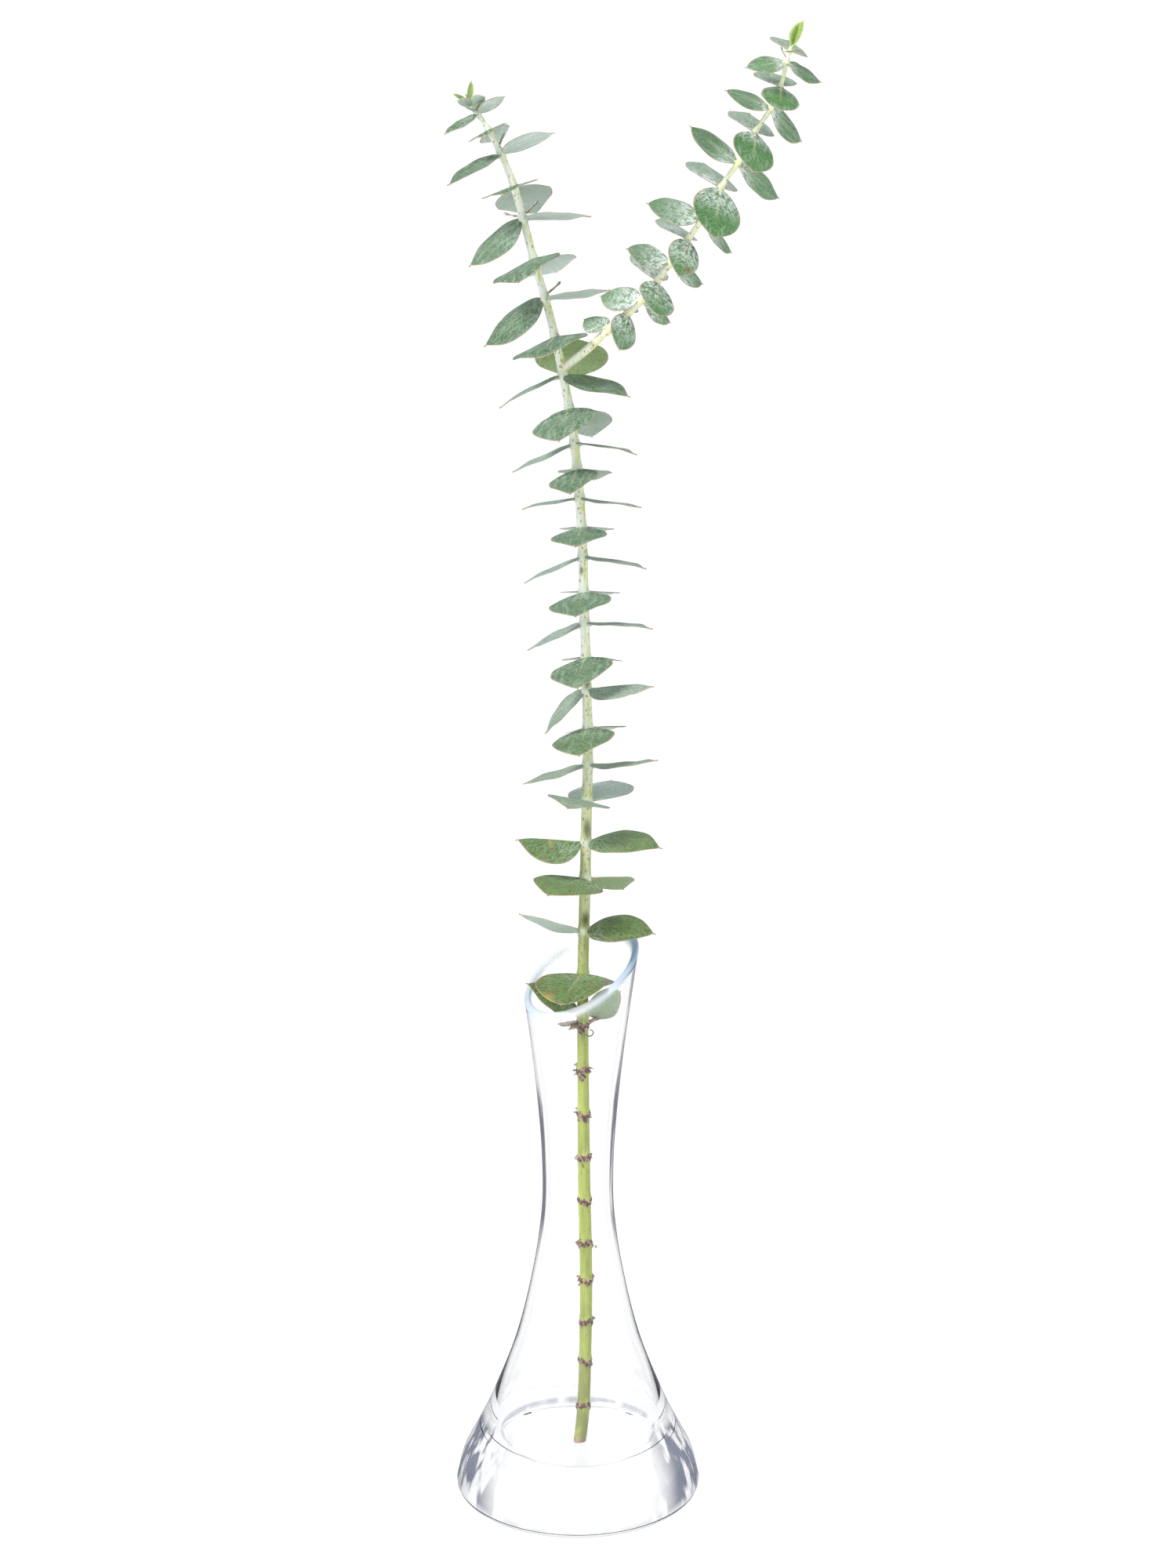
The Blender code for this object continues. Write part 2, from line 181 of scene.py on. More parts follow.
def smoothValue(table, x):
    # a smooth curve through (x, value) pairs, held flat past its ends
    if x <= table[0][0]:
        return table[0][1]
    if x >= table[-1][0]:
        return table[-1][1]
    i = max(k for k in range(len(table) - 1) if table[k][0] <= x)
    return hermite(table[max(i - 1, 0)], table[i], table[i + 1], table[min(i + 2, len(table) - 1)], x)


def pathPoint(path, height):
    across = [(z, x) for x, y, z in path]
    away = [(z, y) for x, y, z in path]
    return Vector((smoothValue(across, height), smoothValue(away, height), height))


def leafAxes(turn, lift, roll):
    # unit vectors along a leaf, across it and out of its upper face
    turn, lift, roll = radians(turn), radians(lift), radians(roll)
    along = Vector((cos(lift) * cos(turn), cos(lift) * sin(turn), sin(lift)))
    level = Vector((-sin(turn), cos(turn), 0.0))
    across = level * cos(roll) + along.cross(level) * sin(roll)
    return along, across, along.cross(across)


def ease(low, high, x):
    t = min(max((x - low) / (high - low), 0.0), 1.0)
    return t * t * (3.0 - 2.0 * t)


# glass vase

vase = dict(
    footRadius=37.0,
    bellyRadius=45.2,
    bellyHeight=6.0,
    outside=(
        (6.0, 45.2), (16.0, 42.6), (25.0, 37.9), (37.0, 32.0), (60.0, 23.0), (85.0, 16.8),
        (106.0, 13.6), (120.0, 13.0), (140.0, 13.9), (168.0, 16.8), (194.0, 20.4), (216.0, 23.6),
    ),
    inside=(
        (21.0, 30.6), (27.0, 31.4), (37.0, 28.6), (60.0, 20.4), (85.0, 14.5), (106.0, 11.4),
        (120.0, 10.8), (140.0, 11.7), (168.0, 14.5), (194.0, 18.0), (216.0, 21.2),
    ),
    floor=((0.0, 15.4), (15.0, 16.0), (26.0, 17.6), (30.6, 21.0)),
    rimHeight=196.8,
    rimRise=(0.462, 0.455),  # slope of the rim's plane towards +X and +Y
    rimRounds=6,  # rounds of fitting the rim's plane to the wall's radius
    rimStart=150.0,  # above this height the rings of points slant with the rim
    segments=160,
    wallSteps=64,
    slantSteps=20,
    footSteps=7,
    lipSteps=9,
    floorSteps=14,
    lipDrop=1.0,  # how far below the rim's plane the lip starts to round over
    lipRound=0.6,
    lipFade=2.6,  # how far the lip's blue tint fades down the wall
    tintPower=1.4,  # painted: the blue shows most at the rim's two sides, a white highlight in front,
    tintBehind=0.45,  # less behind
    tintLeft=0.2,  # and a little less on the left
    thinFrom=(22.0, 52.0),  # where the thick base gives way to the thin wall
)


def rimHeight(turn, profile):
    height = vase["rimHeight"]
    slope = vase["rimRise"][0] * cos(turn) + vase["rimRise"][1] * sin(turn)
    for _ in range(vase["rimRounds"]):
        height = vase["rimHeight"] + smoothValue(profile, height) * slope
    return height


# share of blue against the painted white highlight round the rim: blue at the sides, whiter in front, behind
# and on the left
def rimTintAndHighlight(turn):
    sides = abs(cos(turn)) ** vase["tintPower"]
    behind = 1.0 - vase["tintBehind"] * max(sin(turn), 0.0)
    left = 1.0 - vase["tintLeft"] + vase["tintLeft"] * cos(turn)
    return sides * behind * left


def wallColumn(profile, low, turn):
    # (radius, height, share of lip) up one face of the wall, from low to the lip
    top = rimHeight(turn, profile) - vase["lipDrop"]
    start, steps, slants = vase["rimStart"], vase["wallSteps"], vase["slantSteps"]
    heights = [low + (start - low) * i / steps for i in range(steps)]
    heights += [start + (top - start) * i / slants for i in range(slants + 1)]
    return [(smoothValue(profile, z), z, ease(vase["lipFade"], 0.0, top - z)) for z in heights]


def vaseColumn(turn):
    # (radius, height, share of lip) down one half section, from the foot over the lip to the floor
    column = []
    for step in range(vase["footSteps"]):
        swing = step / vase["footSteps"] * pi / 2
        radius = vase["footRadius"] + (vase["bellyRadius"] - vase["footRadius"]) * sin(swing)
        column.append((radius, vase["bellyHeight"] * (1.0 - cos(swing)), 0.0))
    outside = wallColumn(vase["outside"], vase["bellyHeight"], turn)
    inside = wallColumn(vase["inside"], vase["inside"][0][0], turn)
    column += outside
    outer, inner = outside[-1], inside[-1]
    halfWall = hypot(outer[0] - inner[0], outer[1] - inner[1]) / 2
    for step in range(1, vase["lipSteps"]):
        share = step / vase["lipSteps"]
        lift = halfWall * sin(pi * share) ** vase["lipRound"]
        radius = outer[0] + (inner[0] - outer[0]) * share
        column.append((radius, outer[1] + (inner[1] - outer[1]) * share + lift, 1.0))
    column += reversed(inside)
    for step in range(1, vase["floorSteps"]):
        radius = vase["floor"][-1][0] * (1.0 - step / vase["floorSteps"])
        column.append((radius, smoothValue(vase["floor"], radius), 0.0))
    return column


def makeVase():
    growth = Growth("lipFace", "lipTintAndHighlight", "thinWall", "outerFace")
    rows = []
    for i in range(vase["segments"]):
        turn = 2 * pi * i / vase["segments"]
        tint = rimTintAndHighlight(turn)
        row = []
        column = vaseColumn(turn)
        top = max(range(len(column)), key=lambda k: column[k][1])
        for step, (radius, height, lip) in enumerate(column):
            marks = dict(
                lipFace=lip,
                lipTintAndHighlight=tint,
                thinWall=ease(*vase["thinFrom"], height) * (1.0 - lip),
                outerFace=1.0 if step <= top else 0.0,
            )
            row.append(growth.point(Vector((radius * cos(turn), radius * sin(turn), height)), **marks))
        rows.append(row)
    foot = growth.point(Vector((0.0, 0.0, 0.0)))
    floor = growth.point(Vector((0.0, 0.0, vase["floor"][0][1])))
    for i, row in enumerate(rows):
        beside = rows[(i + 1) % len(rows)]
        growth.faces.append((foot, beside[0], row[0]))
        growth.faces.append((floor, row[-1], beside[-1]))
        for low, high, sideLow, sideHigh in zip(row, row[1:], beside, beside[1:]):
            growth.faces.append((low, sideLow, sideHigh, high))
    growth.piece("vaseGlass", glassPaint(), "vase")


glassLook = dict(
    clear=(0.990, 0.994, 0.998),
    base=(0.970, 0.978, 0.990),
    streakStretch=(160.0, 160.0, 26.0),
    # painted shade: dark lines down the wall where it turns edge-on, darkest at the waist and carried up the
    # right side
    edge=(0.016, 0.012, 0.030),
    edgeStart=0.66,
    edgeWidth=0.08,
    edgeWider=0.13,  # at the waist
    edgeAmount=0.98,
    edgeStreaks=(0.25, 0.5),
    edgeInside=0.2,  # what the inner face keeps of the line
    edgeAway=0.24,  # and what is left of it away from the waist
    rightSide=(-4.0, 4.0),
    rightLine=0.75,
    waist=(84.0, 108.0, 150.0, 174.0),  # the heights between which the painted edge shade is darkest
    baseShade=(0.055, 0.065, 0.105),
    baseBand=(0.16, 0.46),
    baseStreaks=(0.42, 0.54),
    baseRadius=(33.5, 36.0),  # the base's painted shade lies beyond this radius
    footBand=(2.5, 8.0),  # and above this height
    ring=(0.20, 0.20, 0.27),  # painted shade: a dark line where the wall's inner face meets the floor
    ringBand=(19.6, 21.0, 21.8, 23.4),
    ringStreaks=(0.3, 0.5),
    ringAmount=0.8,
    lip=(0.37, 0.51, 0.69),
    lipHighlight=(0.98, 0.99, 1.0),
    lipAmount=0.9,
    lipRoughness=0.2,
    refraction=1.46,
)


def glassPaint():
    look = glassLook
    paint = Paint("clearGlass")
    facing = paint.make("LayerWeight", None, {"Blend": 0.5}, output="Facing")
    thin, lip, outer = paint.mark("thinWall"), paint.mark("lipFace"), paint.mark("outerFace")
    where = paint.make("TexCoord", output="Object")
    height = paint.make("SeparateXYZ", None, {0: where}, output=2) / mm
    right = (paint.make("SeparateXYZ", None, {0: where}) / mm).band(*look["rightSide"])
    low, full, fade, gone = look["waist"]
    waist = height.band(low, full) * height.band(gone, fade)
    start = look["edgeStart"] - waist * look["edgeWider"]
    waist = waist + right * height.band(fade, gone) * look["rightLine"]
    streaks = paint.noise(paint.stretch(where, look["streakStretch"]), 1.0, 2.0)
    # painted shade: a dark line where the wall turns edge-on, standing in for darker surroundings seen
    # through the glass
    edgeShade = facing.band(start, start + look["edgeWidth"]) * thin * (1 - lip)
    edgeShade = edgeShade * (look["edgeInside"] + (1 - look["edgeInside"]) * outer)
    edgeShade = edgeShade * (look["edgeAway"] + (1 - look["edgeAway"]) * waist)
    edgeShade = edgeShade * look["edgeAmount"] * streaks.band(*look["edgeStreaks"])
    colour = paint.mix(look["base"], look["clear"], thin)
    colour = paint.mix(colour, look["edge"], edgeShade)
    flat = paint.stretch(where, (1 / mm, 1 / mm, 0.0))
    radius = paint.make("VectorMath", {"operation": "LENGTH"}, {0: flat}, output=1)
    # painted shade: grey-blue patches on the base at its two sides, where the thick glass shows darker
    # surroundings
    patches = facing.band(*look["baseBand"]) * radius.band(*look["baseRadius"])
    patches = patches * streaks.band(*look["baseStreaks"]) * height.band(*look["footBand"])
    colour = paint.mix(colour, look["baseShade"], patches)
    # painted shade: a dark ring where the inner wall meets the floor
    low, full, fade, gone = look["ringBand"]
    ring = height.band(low, full) * height.band(gone, fade) * (1 - outer)
    ring = ring * streaks.band(*look["ringStreaks"]) * look["ringAmount"]
    colour = paint.mix(colour, look["ring"], ring)
    paint.set(Base_Color=colour, Roughness=0.0, IOR=look["refraction"], Transmission_Weight=1.0)
    # painted highlight: the rim's cut face turns white towards the front and stays blue at the sides
    rim = paint.mix(look["lipHighlight"], look["lip"], paint.mark("lipTintAndHighlight"))
    cutSockets = {"Base Color": rim, "Roughness": look["lipRoughness"]}
    cut = paint.make("BsdfPrincipled", None, cutSockets)
    lipMix = paint.make("MixShader", None, {0: lip * look["lipAmount"], 1: paint.whole, 2: cut})
    shadow = paint.make("LightPath", output="Is Shadow Ray")
    clear = paint.make("BsdfTransparent")
    paint.feed(paint.output, paint.make("MixShader", None, {0: shadow, 1: lipMix, 2: clear}))
    return paint


makeVase()
print("vase made")

# stem and shoot wood

stem = dict(
    path=(
        (0.6, 0.0, 15.9), (2.1, 0.2, 33.0), (2.9, 0.5, 60.0), (3.0, 0.6, 81.0), (2.4, 0.4, 120.0),
        (1.9, 0.0, 165.0), (2.0, -0.3, 200.0), (3.1, -0.4, 250.0), (3.7, 0.0, 279.0),
        (2.5, 0.4, 327.0), (1.7, 0.4, 353.0), (0.4, 0.2, 373.0), (-1.7, 0.0, 393.0),
        (-5.6, 0.0, 414.0), (-9.8, 0.3, 432.5), (-15.3, 0.8, 451.5), (-21.8, 1.4, 475.6),
        (-27.3, 2.0, 489.0), (-32.4, 2.4, 498.0), (-38.2, 2.7, 505.4),
    ),
    radius=(
        (15.9, 2.4), (100.0, 2.25), (250.0, 1.9), (330.0, 1.7), (400.0, 1.6), (450.0, 1.4),
        (490.0, 1.1), (505.4, 0.6),
    ),
    scars=(32.9, 50.3, 65.4, 81.4, 95.6, 112.0, 128.4, 144.7, 161.4, 178.6),
    scarTurn=0.4,
    scarReach=5.0,
    scarHalfHeight=0.95,
    scarRise=0.45,
    scarLumps=(0.75, 0.45),  # mean share of that rise, and how far lumps change it
    scarSag=1.0,  # how far a scar dips below its sides
    scarDrop=0.4,
    scarWaves=((0.34, 4, 1), (0.3, 7, 2), (0.24, 12, 3)),  # ragged edge: height, waves round, shift
    scarSwell=(0.12, 3.5),  # how far the stem swells at a scar, and over which height
    tears=(  # torn bark: height, direction, reach
        (176.4, 4.6, 1.7), (159.2, 4.55, 1.9), (142.8, 4.9, 1.5), (128.0, 5.2, 1.0),
    ),
    tearDepth=0.8,
    tearCore=0.4,  # share of a tear's reach that is bare
    tearRagged=0.4,
    stains=(  # dark patches: height, direction, reach
        (250.2, 4.9, 5.4), (217.2, 5.0, 5.0), (303.4, 4.7, 4.6), (281.0, 4.9, 2.4),
        (343.0, 4.2, 2.4),
    ),
    stainNarrow=2.0,
    cutSlant=0.12,
    cutShade=(4.5, 0.6),  # the cut end darkens between these heights above its foot
    nodeRise=0.34,
    nodeHalfHeight=1.5,
    step=0.55,
    sides=28,
    grain=0.05,
)
shoot = dict(
    path=(
        (-5.6, 0.0, 413.2), (2.4, -6.0, 419.0), (11.1, -12.0, 426.3), (21.7, -21.0, 435.0),
        (31.6, -32.0, 446.6), (40.7, -43.0, 458.5), (48.0, -53.0, 469.8), (52.7, -58.0, 476.0),
        (57.6, -65.0, 484.6), (61.3, -69.0, 489.7), (64.5, -74.0, 497.1), (65.8, -77.0, 503.0),
        (67.3, -79.0, 507.5),
    ),
    radius=((413.2, 1.5), (430.0, 1.25), (446.0, 1.02), (476.0, 0.86), (507.5, 0.6)),
    scars=(),
    nodeRise=0.3,
    nodeHalfHeight=0.8,
    step=0.32,
    sides=24,
    grain=0.03,
)

# leaves: (height, (turn, lift, length, width, roll, fold, arch), its partner)
stemLeaves = (
    (181.9, (193, 32, 24.5, 17.0, -24, -10), (4, 32, 16.6, 14.0, -60, 0, -0.12)),
    (197.1, (251, -15, 25.2, 26.0, 0, 12), (72, -28, 15.5, 20.0, 0)),
    (212.8, (172, 15, 24.5, 21.0, 22, 0, -0.08), (348, 1, 26.5, 24.0, 14, -4, 0.09)),
    (232.1, (238, -3, 25.0, 27.0, -8, 0), (52, -14, 24.0, 25.0, -16)),
    (245.0, (182, 4, 25.5, 21.0, -10, -32), (343, 0, 28.5, 24.0, 12, -4, 0.08)),
    (260.1, (254, 5, 24.0, 23.0, -10, 0), (68, 13, 25.0, 25.0, -4)),
    (273.5, (169, -16, 25.0, 22.0, -4), (345, 7, 26.0, 22.0, 0, -4, -0.04)),
    (286.8, (261, -17, 23.0, 23.0, 10), (74, -4, 22.0, 23.0, -8)),
    (300.4, (166, -44, 22.5, 20.0, -20, 6), (342, 6, 25.0, 23.0, 0, -20)),
    (312.2, (261, -22, 23.0, 23.0, 12), (76, -4, 22.0, 23.0, 0)),
    (324.2, (166, -23, 23.5, 22.0, -10, 0), (345, -2, 25.0, 22.0, 0, -2)),
    (335.4, (261, -17, 22.5, 22.5, 8), (76, -3, 21.0, 22.0, 0)),
    (347.9, (168, -22, 23.5, 21.0, -8, 0), (342, -8, 24.0, 21.0, 0, -2)),
    (358.4, (264, -14, 22.0, 20.0, 5), (78, -3, 20.0, 20.5, 0)),
    (368.6, (162, -8, 22.0, 20.0, -6), (339, -6, 23.5, 20.0, 0)),
    (378.8, (262, -21, 21.5, 18.0, 11), (72, -6, 20.0, 20.0, 0)),
    (387.8, (167, -22, 25.0, 20.0, -12, -2), (338, -8, 24.0, 20.0, 0)),
    (400.1, (259, -28, 24.0, 24.0, 14), (66, -22, 22.0, 24.0, -5)),
    (411.6, (166, -24, 26.0, 22.0, -13, -1), (339, -16, 26.5, 22.0, 13, -1)),
    (424.6, (259, -17, 24.0, 28.0, 16), (59, -30, 24.0, 28.0, -8)),
    (438.1, (168, -35, 27.8, 21.0, -38, -10), (342, 7, 24.0, 20.0, 0)),
    (451.5, (256, -22, 24.0, 26.0, 19), (70, -2, 22.0, 24.0, -17)),
    (465.5, (170, -38, 25.5, 21.0, -36, -10), (342, 1, 25.0, 20.0, 0)),
    (476.4, (261, -11, 20.0, 21.0, 17), (70, -15, 21.0, 21.0, -17)),
    (487.6, (190, -29, 22.0, 17.0, -17, 6), (340, 18, 21.0, 11.4, -10, 2)),
    (495.5, (266, -12, 14.0, 15.0, 25), (72, -2, 12.0, 12.0, -28)),
    (501.3, (195, -31, 14.0, 9.5, -20), (332, 25, 12.5, 6.6, -12)),
)
shootLeaves = (
    (426.3, (140, 20, 12.4, 9.6, -38), (330, -12, 10.0, 8.0, 20)),
    (431.4, (251, -54, 16.7, 11.3, -56), (110, 33, 12.5, 12.5, 16)),
    (435.4, (156, 7, 16.0, 12.5, -46), (26, -33, 13.5, 12.0, 48)),
    (441.1, (270, -49, 16.7, 14.6, -36), (117, 42, 16.1, 16.5, 16)),
    (446.5, (190, 16, 16.0, 13.3, -44), (30, -26, 14.5, 13.0, 48)),
    (453.6, (250, -51, 17.4, 11.9, -46), (121, 31, 16.4, 16.9, 12)),
    (459.4, (183, 15, 19.2, 13.9, -44), (36, -38, 16.5, 14.0, 48)),
    (468.3, (254, -59, 20.4, 17.9, -42), (109, 34, 18.4, 20.6, 19)),
    (475.0, (175, 38, 19.8, 13.5, -35), (27, -32, 18.9, 15.8, 50)),
    (483.7, (262, -54, 17.4, 15.8, -38), (95, 33, 15.6, 17.2, 23)),
    (490.0, (183, 21, 15.6, 11.9, -36), (33, -35, 15.8, 12.5, 60)),
    (496.1, (266, -43, 13.7, 12.7, -19), (107, 33, 11.7, 15.0, 6)),
    (502.6, (191, -9, 13.5, 10.3, -40), (18, -24, 13.1, 10.7, 41)),
    (505.8, (280, -14, 7.0, 6.0, 5), (88, 31, 9.8, 13.5, 26)),
)


def pairTurn(wood, height):
    # direction of the leaf pair that once grew at a scar, a quarter turn on at each one
    return (wood["scars"].index(height) % 2) * pi / 2 + wood["scarTurn"]


def woodPoint(wood, nodes, height, swing, seed):
    # (radius, scar, node) of the bark at a height and direction round the stem
    radius = smoothValue(wood["radius"], height)
    scar = 0.0
    for place in wood["scars"]:
        if abs(height - place) < wood["scarReach"]:
            dip = wood["scarSag"] * cos(swing - pairTurn(wood, place)) ** 2
            waves = wood["scarWaves"]
            ragged = sum(size * sin(count * swing + shift * place) for size, count, shift in waves)
            off = (height - place + dip - wood["scarDrop"] + ragged) / wood["scarHalfHeight"]
            scar = max(scar, exp(-off * off))
            swell, reach = wood["scarSwell"]
            radius += swell * ease(reach, 0.0, abs(height - place))
    for place, direction, reach in wood.get("tears", ()):
        away = hypot(height - place, radius * (swing - direction))
        away += wood["tearRagged"] * sin(6 * swing + 3 * height)
        scar = max(scar, wood["tearDepth"] * ease(reach, wood["tearCore"] * reach, away))
    if scar > 0.0:
        least, uneven = wood["scarLumps"]
        radius += wood["scarRise"] * scar * (least + uneven * sin(9 * swing + 1.7 * height))
    node = max(exp(-(((height - place) / wood["nodeHalfHeight"]) ** 2)) for place in nodes)
    radius += wood["nodeRise"] * node
    ridges = 0.5 * sin(3 * swing + 0.09 * height) + 0.5 * sin(2 * swing - 0.05 * height + seed)
    return radius * (1.0 + wood["grain"] * ridges), scar, node


def addWood(growth, wood, nodes, seed):
    path = wood["path"]
    low, high = path[0][2], path[-1][2]
    count = round((high - low) / wood["step"])
    rings = []
    for i in range(count + 1):
        height = low + (high - low) * i / count
        centre = pathPoint(path, height)
        along = (pathPoint(path, min(height + 1, high)) - pathPoint(path, max(height - 1, low))).normalized()
        side = Vector((0.0, 1.0, 0.0)).cross(along).normalized()
        front = along.cross(side)
        end = ease(*wood["cutShade"], height - low) if "cutShade" in wood else 0.0
        slant = wood.get("cutSlant", 0.0) if i == 0 else 0.0
        ring = []
        for k in range(wood["sides"]):
            swing = 2 * pi * k / wood["sides"]
            radius, scar, node = woodPoint(wood, nodes, height, swing, seed)
            place = centre + (side * cos(swing) + front * sin(swing)) * radius
            place += along * (slant * radius * (1 + cos(swing)))
            stain = 0.0
            for middle, direction, reach in wood.get("stains", ()):
                away = hypot(height - middle, wood["stainNarrow"] * radius * (swing - direction))
                stain = max(stain, ease(reach, 0.0, away))
            marks = dict(barkScar=scar, barkNode=node, barkHeight=height, barkEnd=end, barkStain=stain)
            ring.append(growth.point(place, **marks))
        rings.append(ring)
    closeRings(growth, rings)


def closeRings(growth, rings):
    # faces between rings of points, with both ends shut
    for low, high in zip(rings, rings[1:]):
        for k in range(len(low)):
            after = (k + 1) % len(low)
            growth.faces.append((low[k], low[after], high[after], high[k]))
    growth.faces.append(tuple(reversed(rings[0])))
    growth.faces.append(tuple(rings[-1]))


barkLook = dict(
    streakStretch=(900.0, 900.0, 90.0),
    patchStretch=(260.0, 260.0, 130.0),
    speckStretch=(1100.0, 1100.0, 750.0),
    lower=(0.345, 0.415, 0.088),
    lowerShade=(0.240, 0.300, 0.060),
    lowerStreaks=(0.40, 0.70),
    foot=(0.20, 0.225, 0.07),
    footBand=(104.0, 22.0),
    footPatches=(0.3, 0.55),
    upper=(0.98, 0.99, 0.82),
    upperShade=(0.70, 0.77, 0.34),
    upperStreaks=(0.44, 0.66),
    upperBand=(160.0, 320.0),
    yellow=(0.84, 0.87, 0.36),
    yellowPatches=(0.48, 0.62),
    yellowAmount=0.7,
    # painted highlight: the upper stem's left side, where the light falls, is washed near white
    litSide=(0.99, 0.99, 0.94),
    litSideAmount=0.8,
    litSideBand=(235.0, 325.0),
    litSideFacing=(0.3, -0.4),
    scar=(0.075, 0.042, 0.045),
    scarBand=(0.22, 0.5),
    scarPale=(0.52, 0.30, 0.24),
    scarPaleSpecks=(0.50, 0.62),
    scarPaleAmount=0.8,
    node=(0.74, 0.82, 0.70),
    nodeBand=(192.0, 225.0),
    nodePatches=(0.25, 0.5),
    nodeAmount=0.85,
    olive=(0.36, 0.38, 0.12),
    olivePatches=(0.58, 0.72),
    oliveAmount=0.35,
    speck=(0.30, 0.17, 0.10),
    speckBand=(0.60, 0.67),
    speckAmount=0.75,
    stain=(0.115, 0.130, 0.045),
    stainPatches=(0.35, 0.6),
    stainLeast=0.55,
    cutEnd=(0.36, 0.22, 0.19),
    cutSpecks=(0.48, 0.6),
    cutSpeckAmount=0.6,
    cutAmount=0.85,
    roughness=(0.5, 0.3),  # of sound bark, and how much more a scar has
    bumpHeights=(0.4, 0.5, 2.0),  # streaks, specks, specks within scars
    bumpDepth=0.0003,
)


def barkPaint(name, look):
    paint = Paint(name)
    where = paint.make("TexCoord", output="Object")
    height = paint.mark("barkHeight")
    scar, node = paint.mark("barkScar"), paint.mark("barkNode")
    streaks = paint.noise(paint.stretch(where, look["streakStretch"]), 1.0, 4.0)
    patches = paint.noise(paint.stretch(where, look["patchStretch"]), 1.0, 3.0)
    specks = paint.noise(paint.stretch(where, look["speckStretch"]), 1.0, 2.0)
    old = paint.mix(look["lower"], look["lowerShade"], streaks.band(*look["lowerStreaks"]))
    old = paint.mix(old, look["foot"], height.band(*look["footBand"]) * patches.band(*look["footPatches"]))
    young = paint.mix(look["upper"], look["upperShade"], streaks.band(*look["upperStreaks"]))
    young = paint.mix(young, look["yellow"], patches.band(*look["yellowPatches"]) * look["yellowAmount"])
    # painted highlight: near-white wash over the stem's left side, chosen by which way the surface faces
    normal = paint.make("NewGeometry", output="Normal")
    side = paint.make("SeparateXYZ", None, {0: normal}) + streaks - 0.5
    left = side.band(*look["litSideFacing"]) * height.band(*look["litSideBand"])
    young = paint.mix(young, look["litSide"], left * look["litSideAmount"])
    colour = paint.mix(old, young, height.band(*look["upperBand"]))
    colour = paint.mix(colour, look["olive"], patches.band(*look["olivePatches"]) * look["oliveAmount"])
    bloom = node * patches.band(*look["nodePatches"]) * height.band(*look["nodeBand"])
    colour = paint.mix(colour, look["node"], bloom * look["nodeAmount"])
    least = look["stainLeast"]
    stained = paint.mark("barkStain") * (least + (1 - least) * patches.band(*look["stainPatches"]))
    colour = paint.mix(colour, look["stain"], stained)
    colour = paint.mix(colour, look["speck"], specks.band(*look["speckBand"]) * look["speckAmount"])
    paleSpecks = specks.band(*look["scarPaleSpecks"]) * look["scarPaleAmount"]
    scarTone = paint.mix(look["scar"], look["scarPale"], paleSpecks)
    colour = paint.mix(colour, scarTone, scar.band(*look["scarBand"]))
    cutSpecks = specks.band(*look["cutSpecks"]) * look["cutSpeckAmount"]
    cutTone = paint.mix(look["cutEnd"], look["scar"], cutSpecks)
    colour = paint.mix(colour, cutTone, paint.mark("barkEnd") * look["cutAmount"])
    smooth, rougher = look["roughness"]
    paint.set(Base_Color=colour, Roughness=smooth + rougher * scar.band(0.2, 0.7), Specular_IOR_Level=0.35)
    streakHeight, speckHeight, scarHeight = look["bumpHeights"]
    height = streaks * streakHeight + specks * speckHeight + scar * specks * scarHeight
    paint.bump(height, 0.5, look["bumpDepth"])
    return paint


stemNodes = [row[0] for row in stemLeaves]
shootNodes = [row[0] for row in shootLeaves]
barkMarks = ("barkScar", "barkNode", "barkHeight", "barkEnd", "barkStain")
stemWood = Growth(*barkMarks)
addWood(stemWood, stem, stemNodes, 1.0)
stemWood.piece("stemWood", barkPaint("stemBark", barkLook), "main_stem")
shootLook = dict(
    barkLook,
    upper=(0.84, 0.86, 0.66),
    upperShade=(0.74, 0.75, 0.42),
    litSideAmount=0.35,
    node=(0.78, 0.80, 0.44),
    olive=(0.50, 0.30, 0.14),
    speck=(0.30, 0.14, 0.07),
)
shootWood = Growth(*barkMarks)
addWood(shootWood, shoot, shootNodes, 4.0)
shootWood.piece("shootWood", barkPaint("shootBark", shootLook), "side_shoot")
print("wood made:", len(stemWood.points), "and", len(shootWood.points), "points")

# leaves

leafForm = dict(
    stations=30,
    lines=10,  # lines of points across each half
    crowding=(0.45, 0.65),  # how far the points crowd to the ends and to the edges
    thickness=0.5,
    belly=0.84,
    roundness=0.6,
    fullWidth=18.0,  # narrower leaves have finer points, waves and ribs
    leastHalf=0.06,
    rootHalf=1.1,
    rootStart=0.75,  # share of the wood's radius at which the blade starts to widen
    collarRise=0.5,
    collarTop=0.3,
    collarEnd=(0.16, 0.04),
    pointStart=0.74,
    pointDraw=0.3,
    pointDrop=1.7,
    pointFacing=(0.35, 0.65),  # least droop, and how much more towards the front and the back
    beakStart=0.955,
    beakHalf=0.42,
    waveHeight=0.17,
    waveSpread=(0.5, 1.3),
    waveCount=(1.6, 2.8),
    wavePower=2.5,
    waveStart=(0.05, 0.3),
    waveShift=1.9,  # between a leaf's two halves
    usualFold=-4.0,
    foldSoft=0.8,
    cup=0.05,
    cupSpread=(-0.4, 1.0),
    bend=0.018,
    ribRise=0.3,
    ribHalf=0.45,
    tipEdge=0.8,
    patternShift=300,
)
roundForm = dict(leafForm, belly=1.12, roundness=0.46, pointDraw=0.0, pointDrop=0.6, beakHalf=0.2)
shootForm = dict(leafForm, belly=0.92, pointDraw=0.12, pointDrop=0.3)
leafMarks = (
    "leafAlong", "leafUpper", "leafTone", "leafAge", "leafRib", "leafEdge", "leafScorch",
    "leafBloomAndSheen", "leafWarm", "leafFrost", "leafSpot",
)
rng = random.Random(1887)


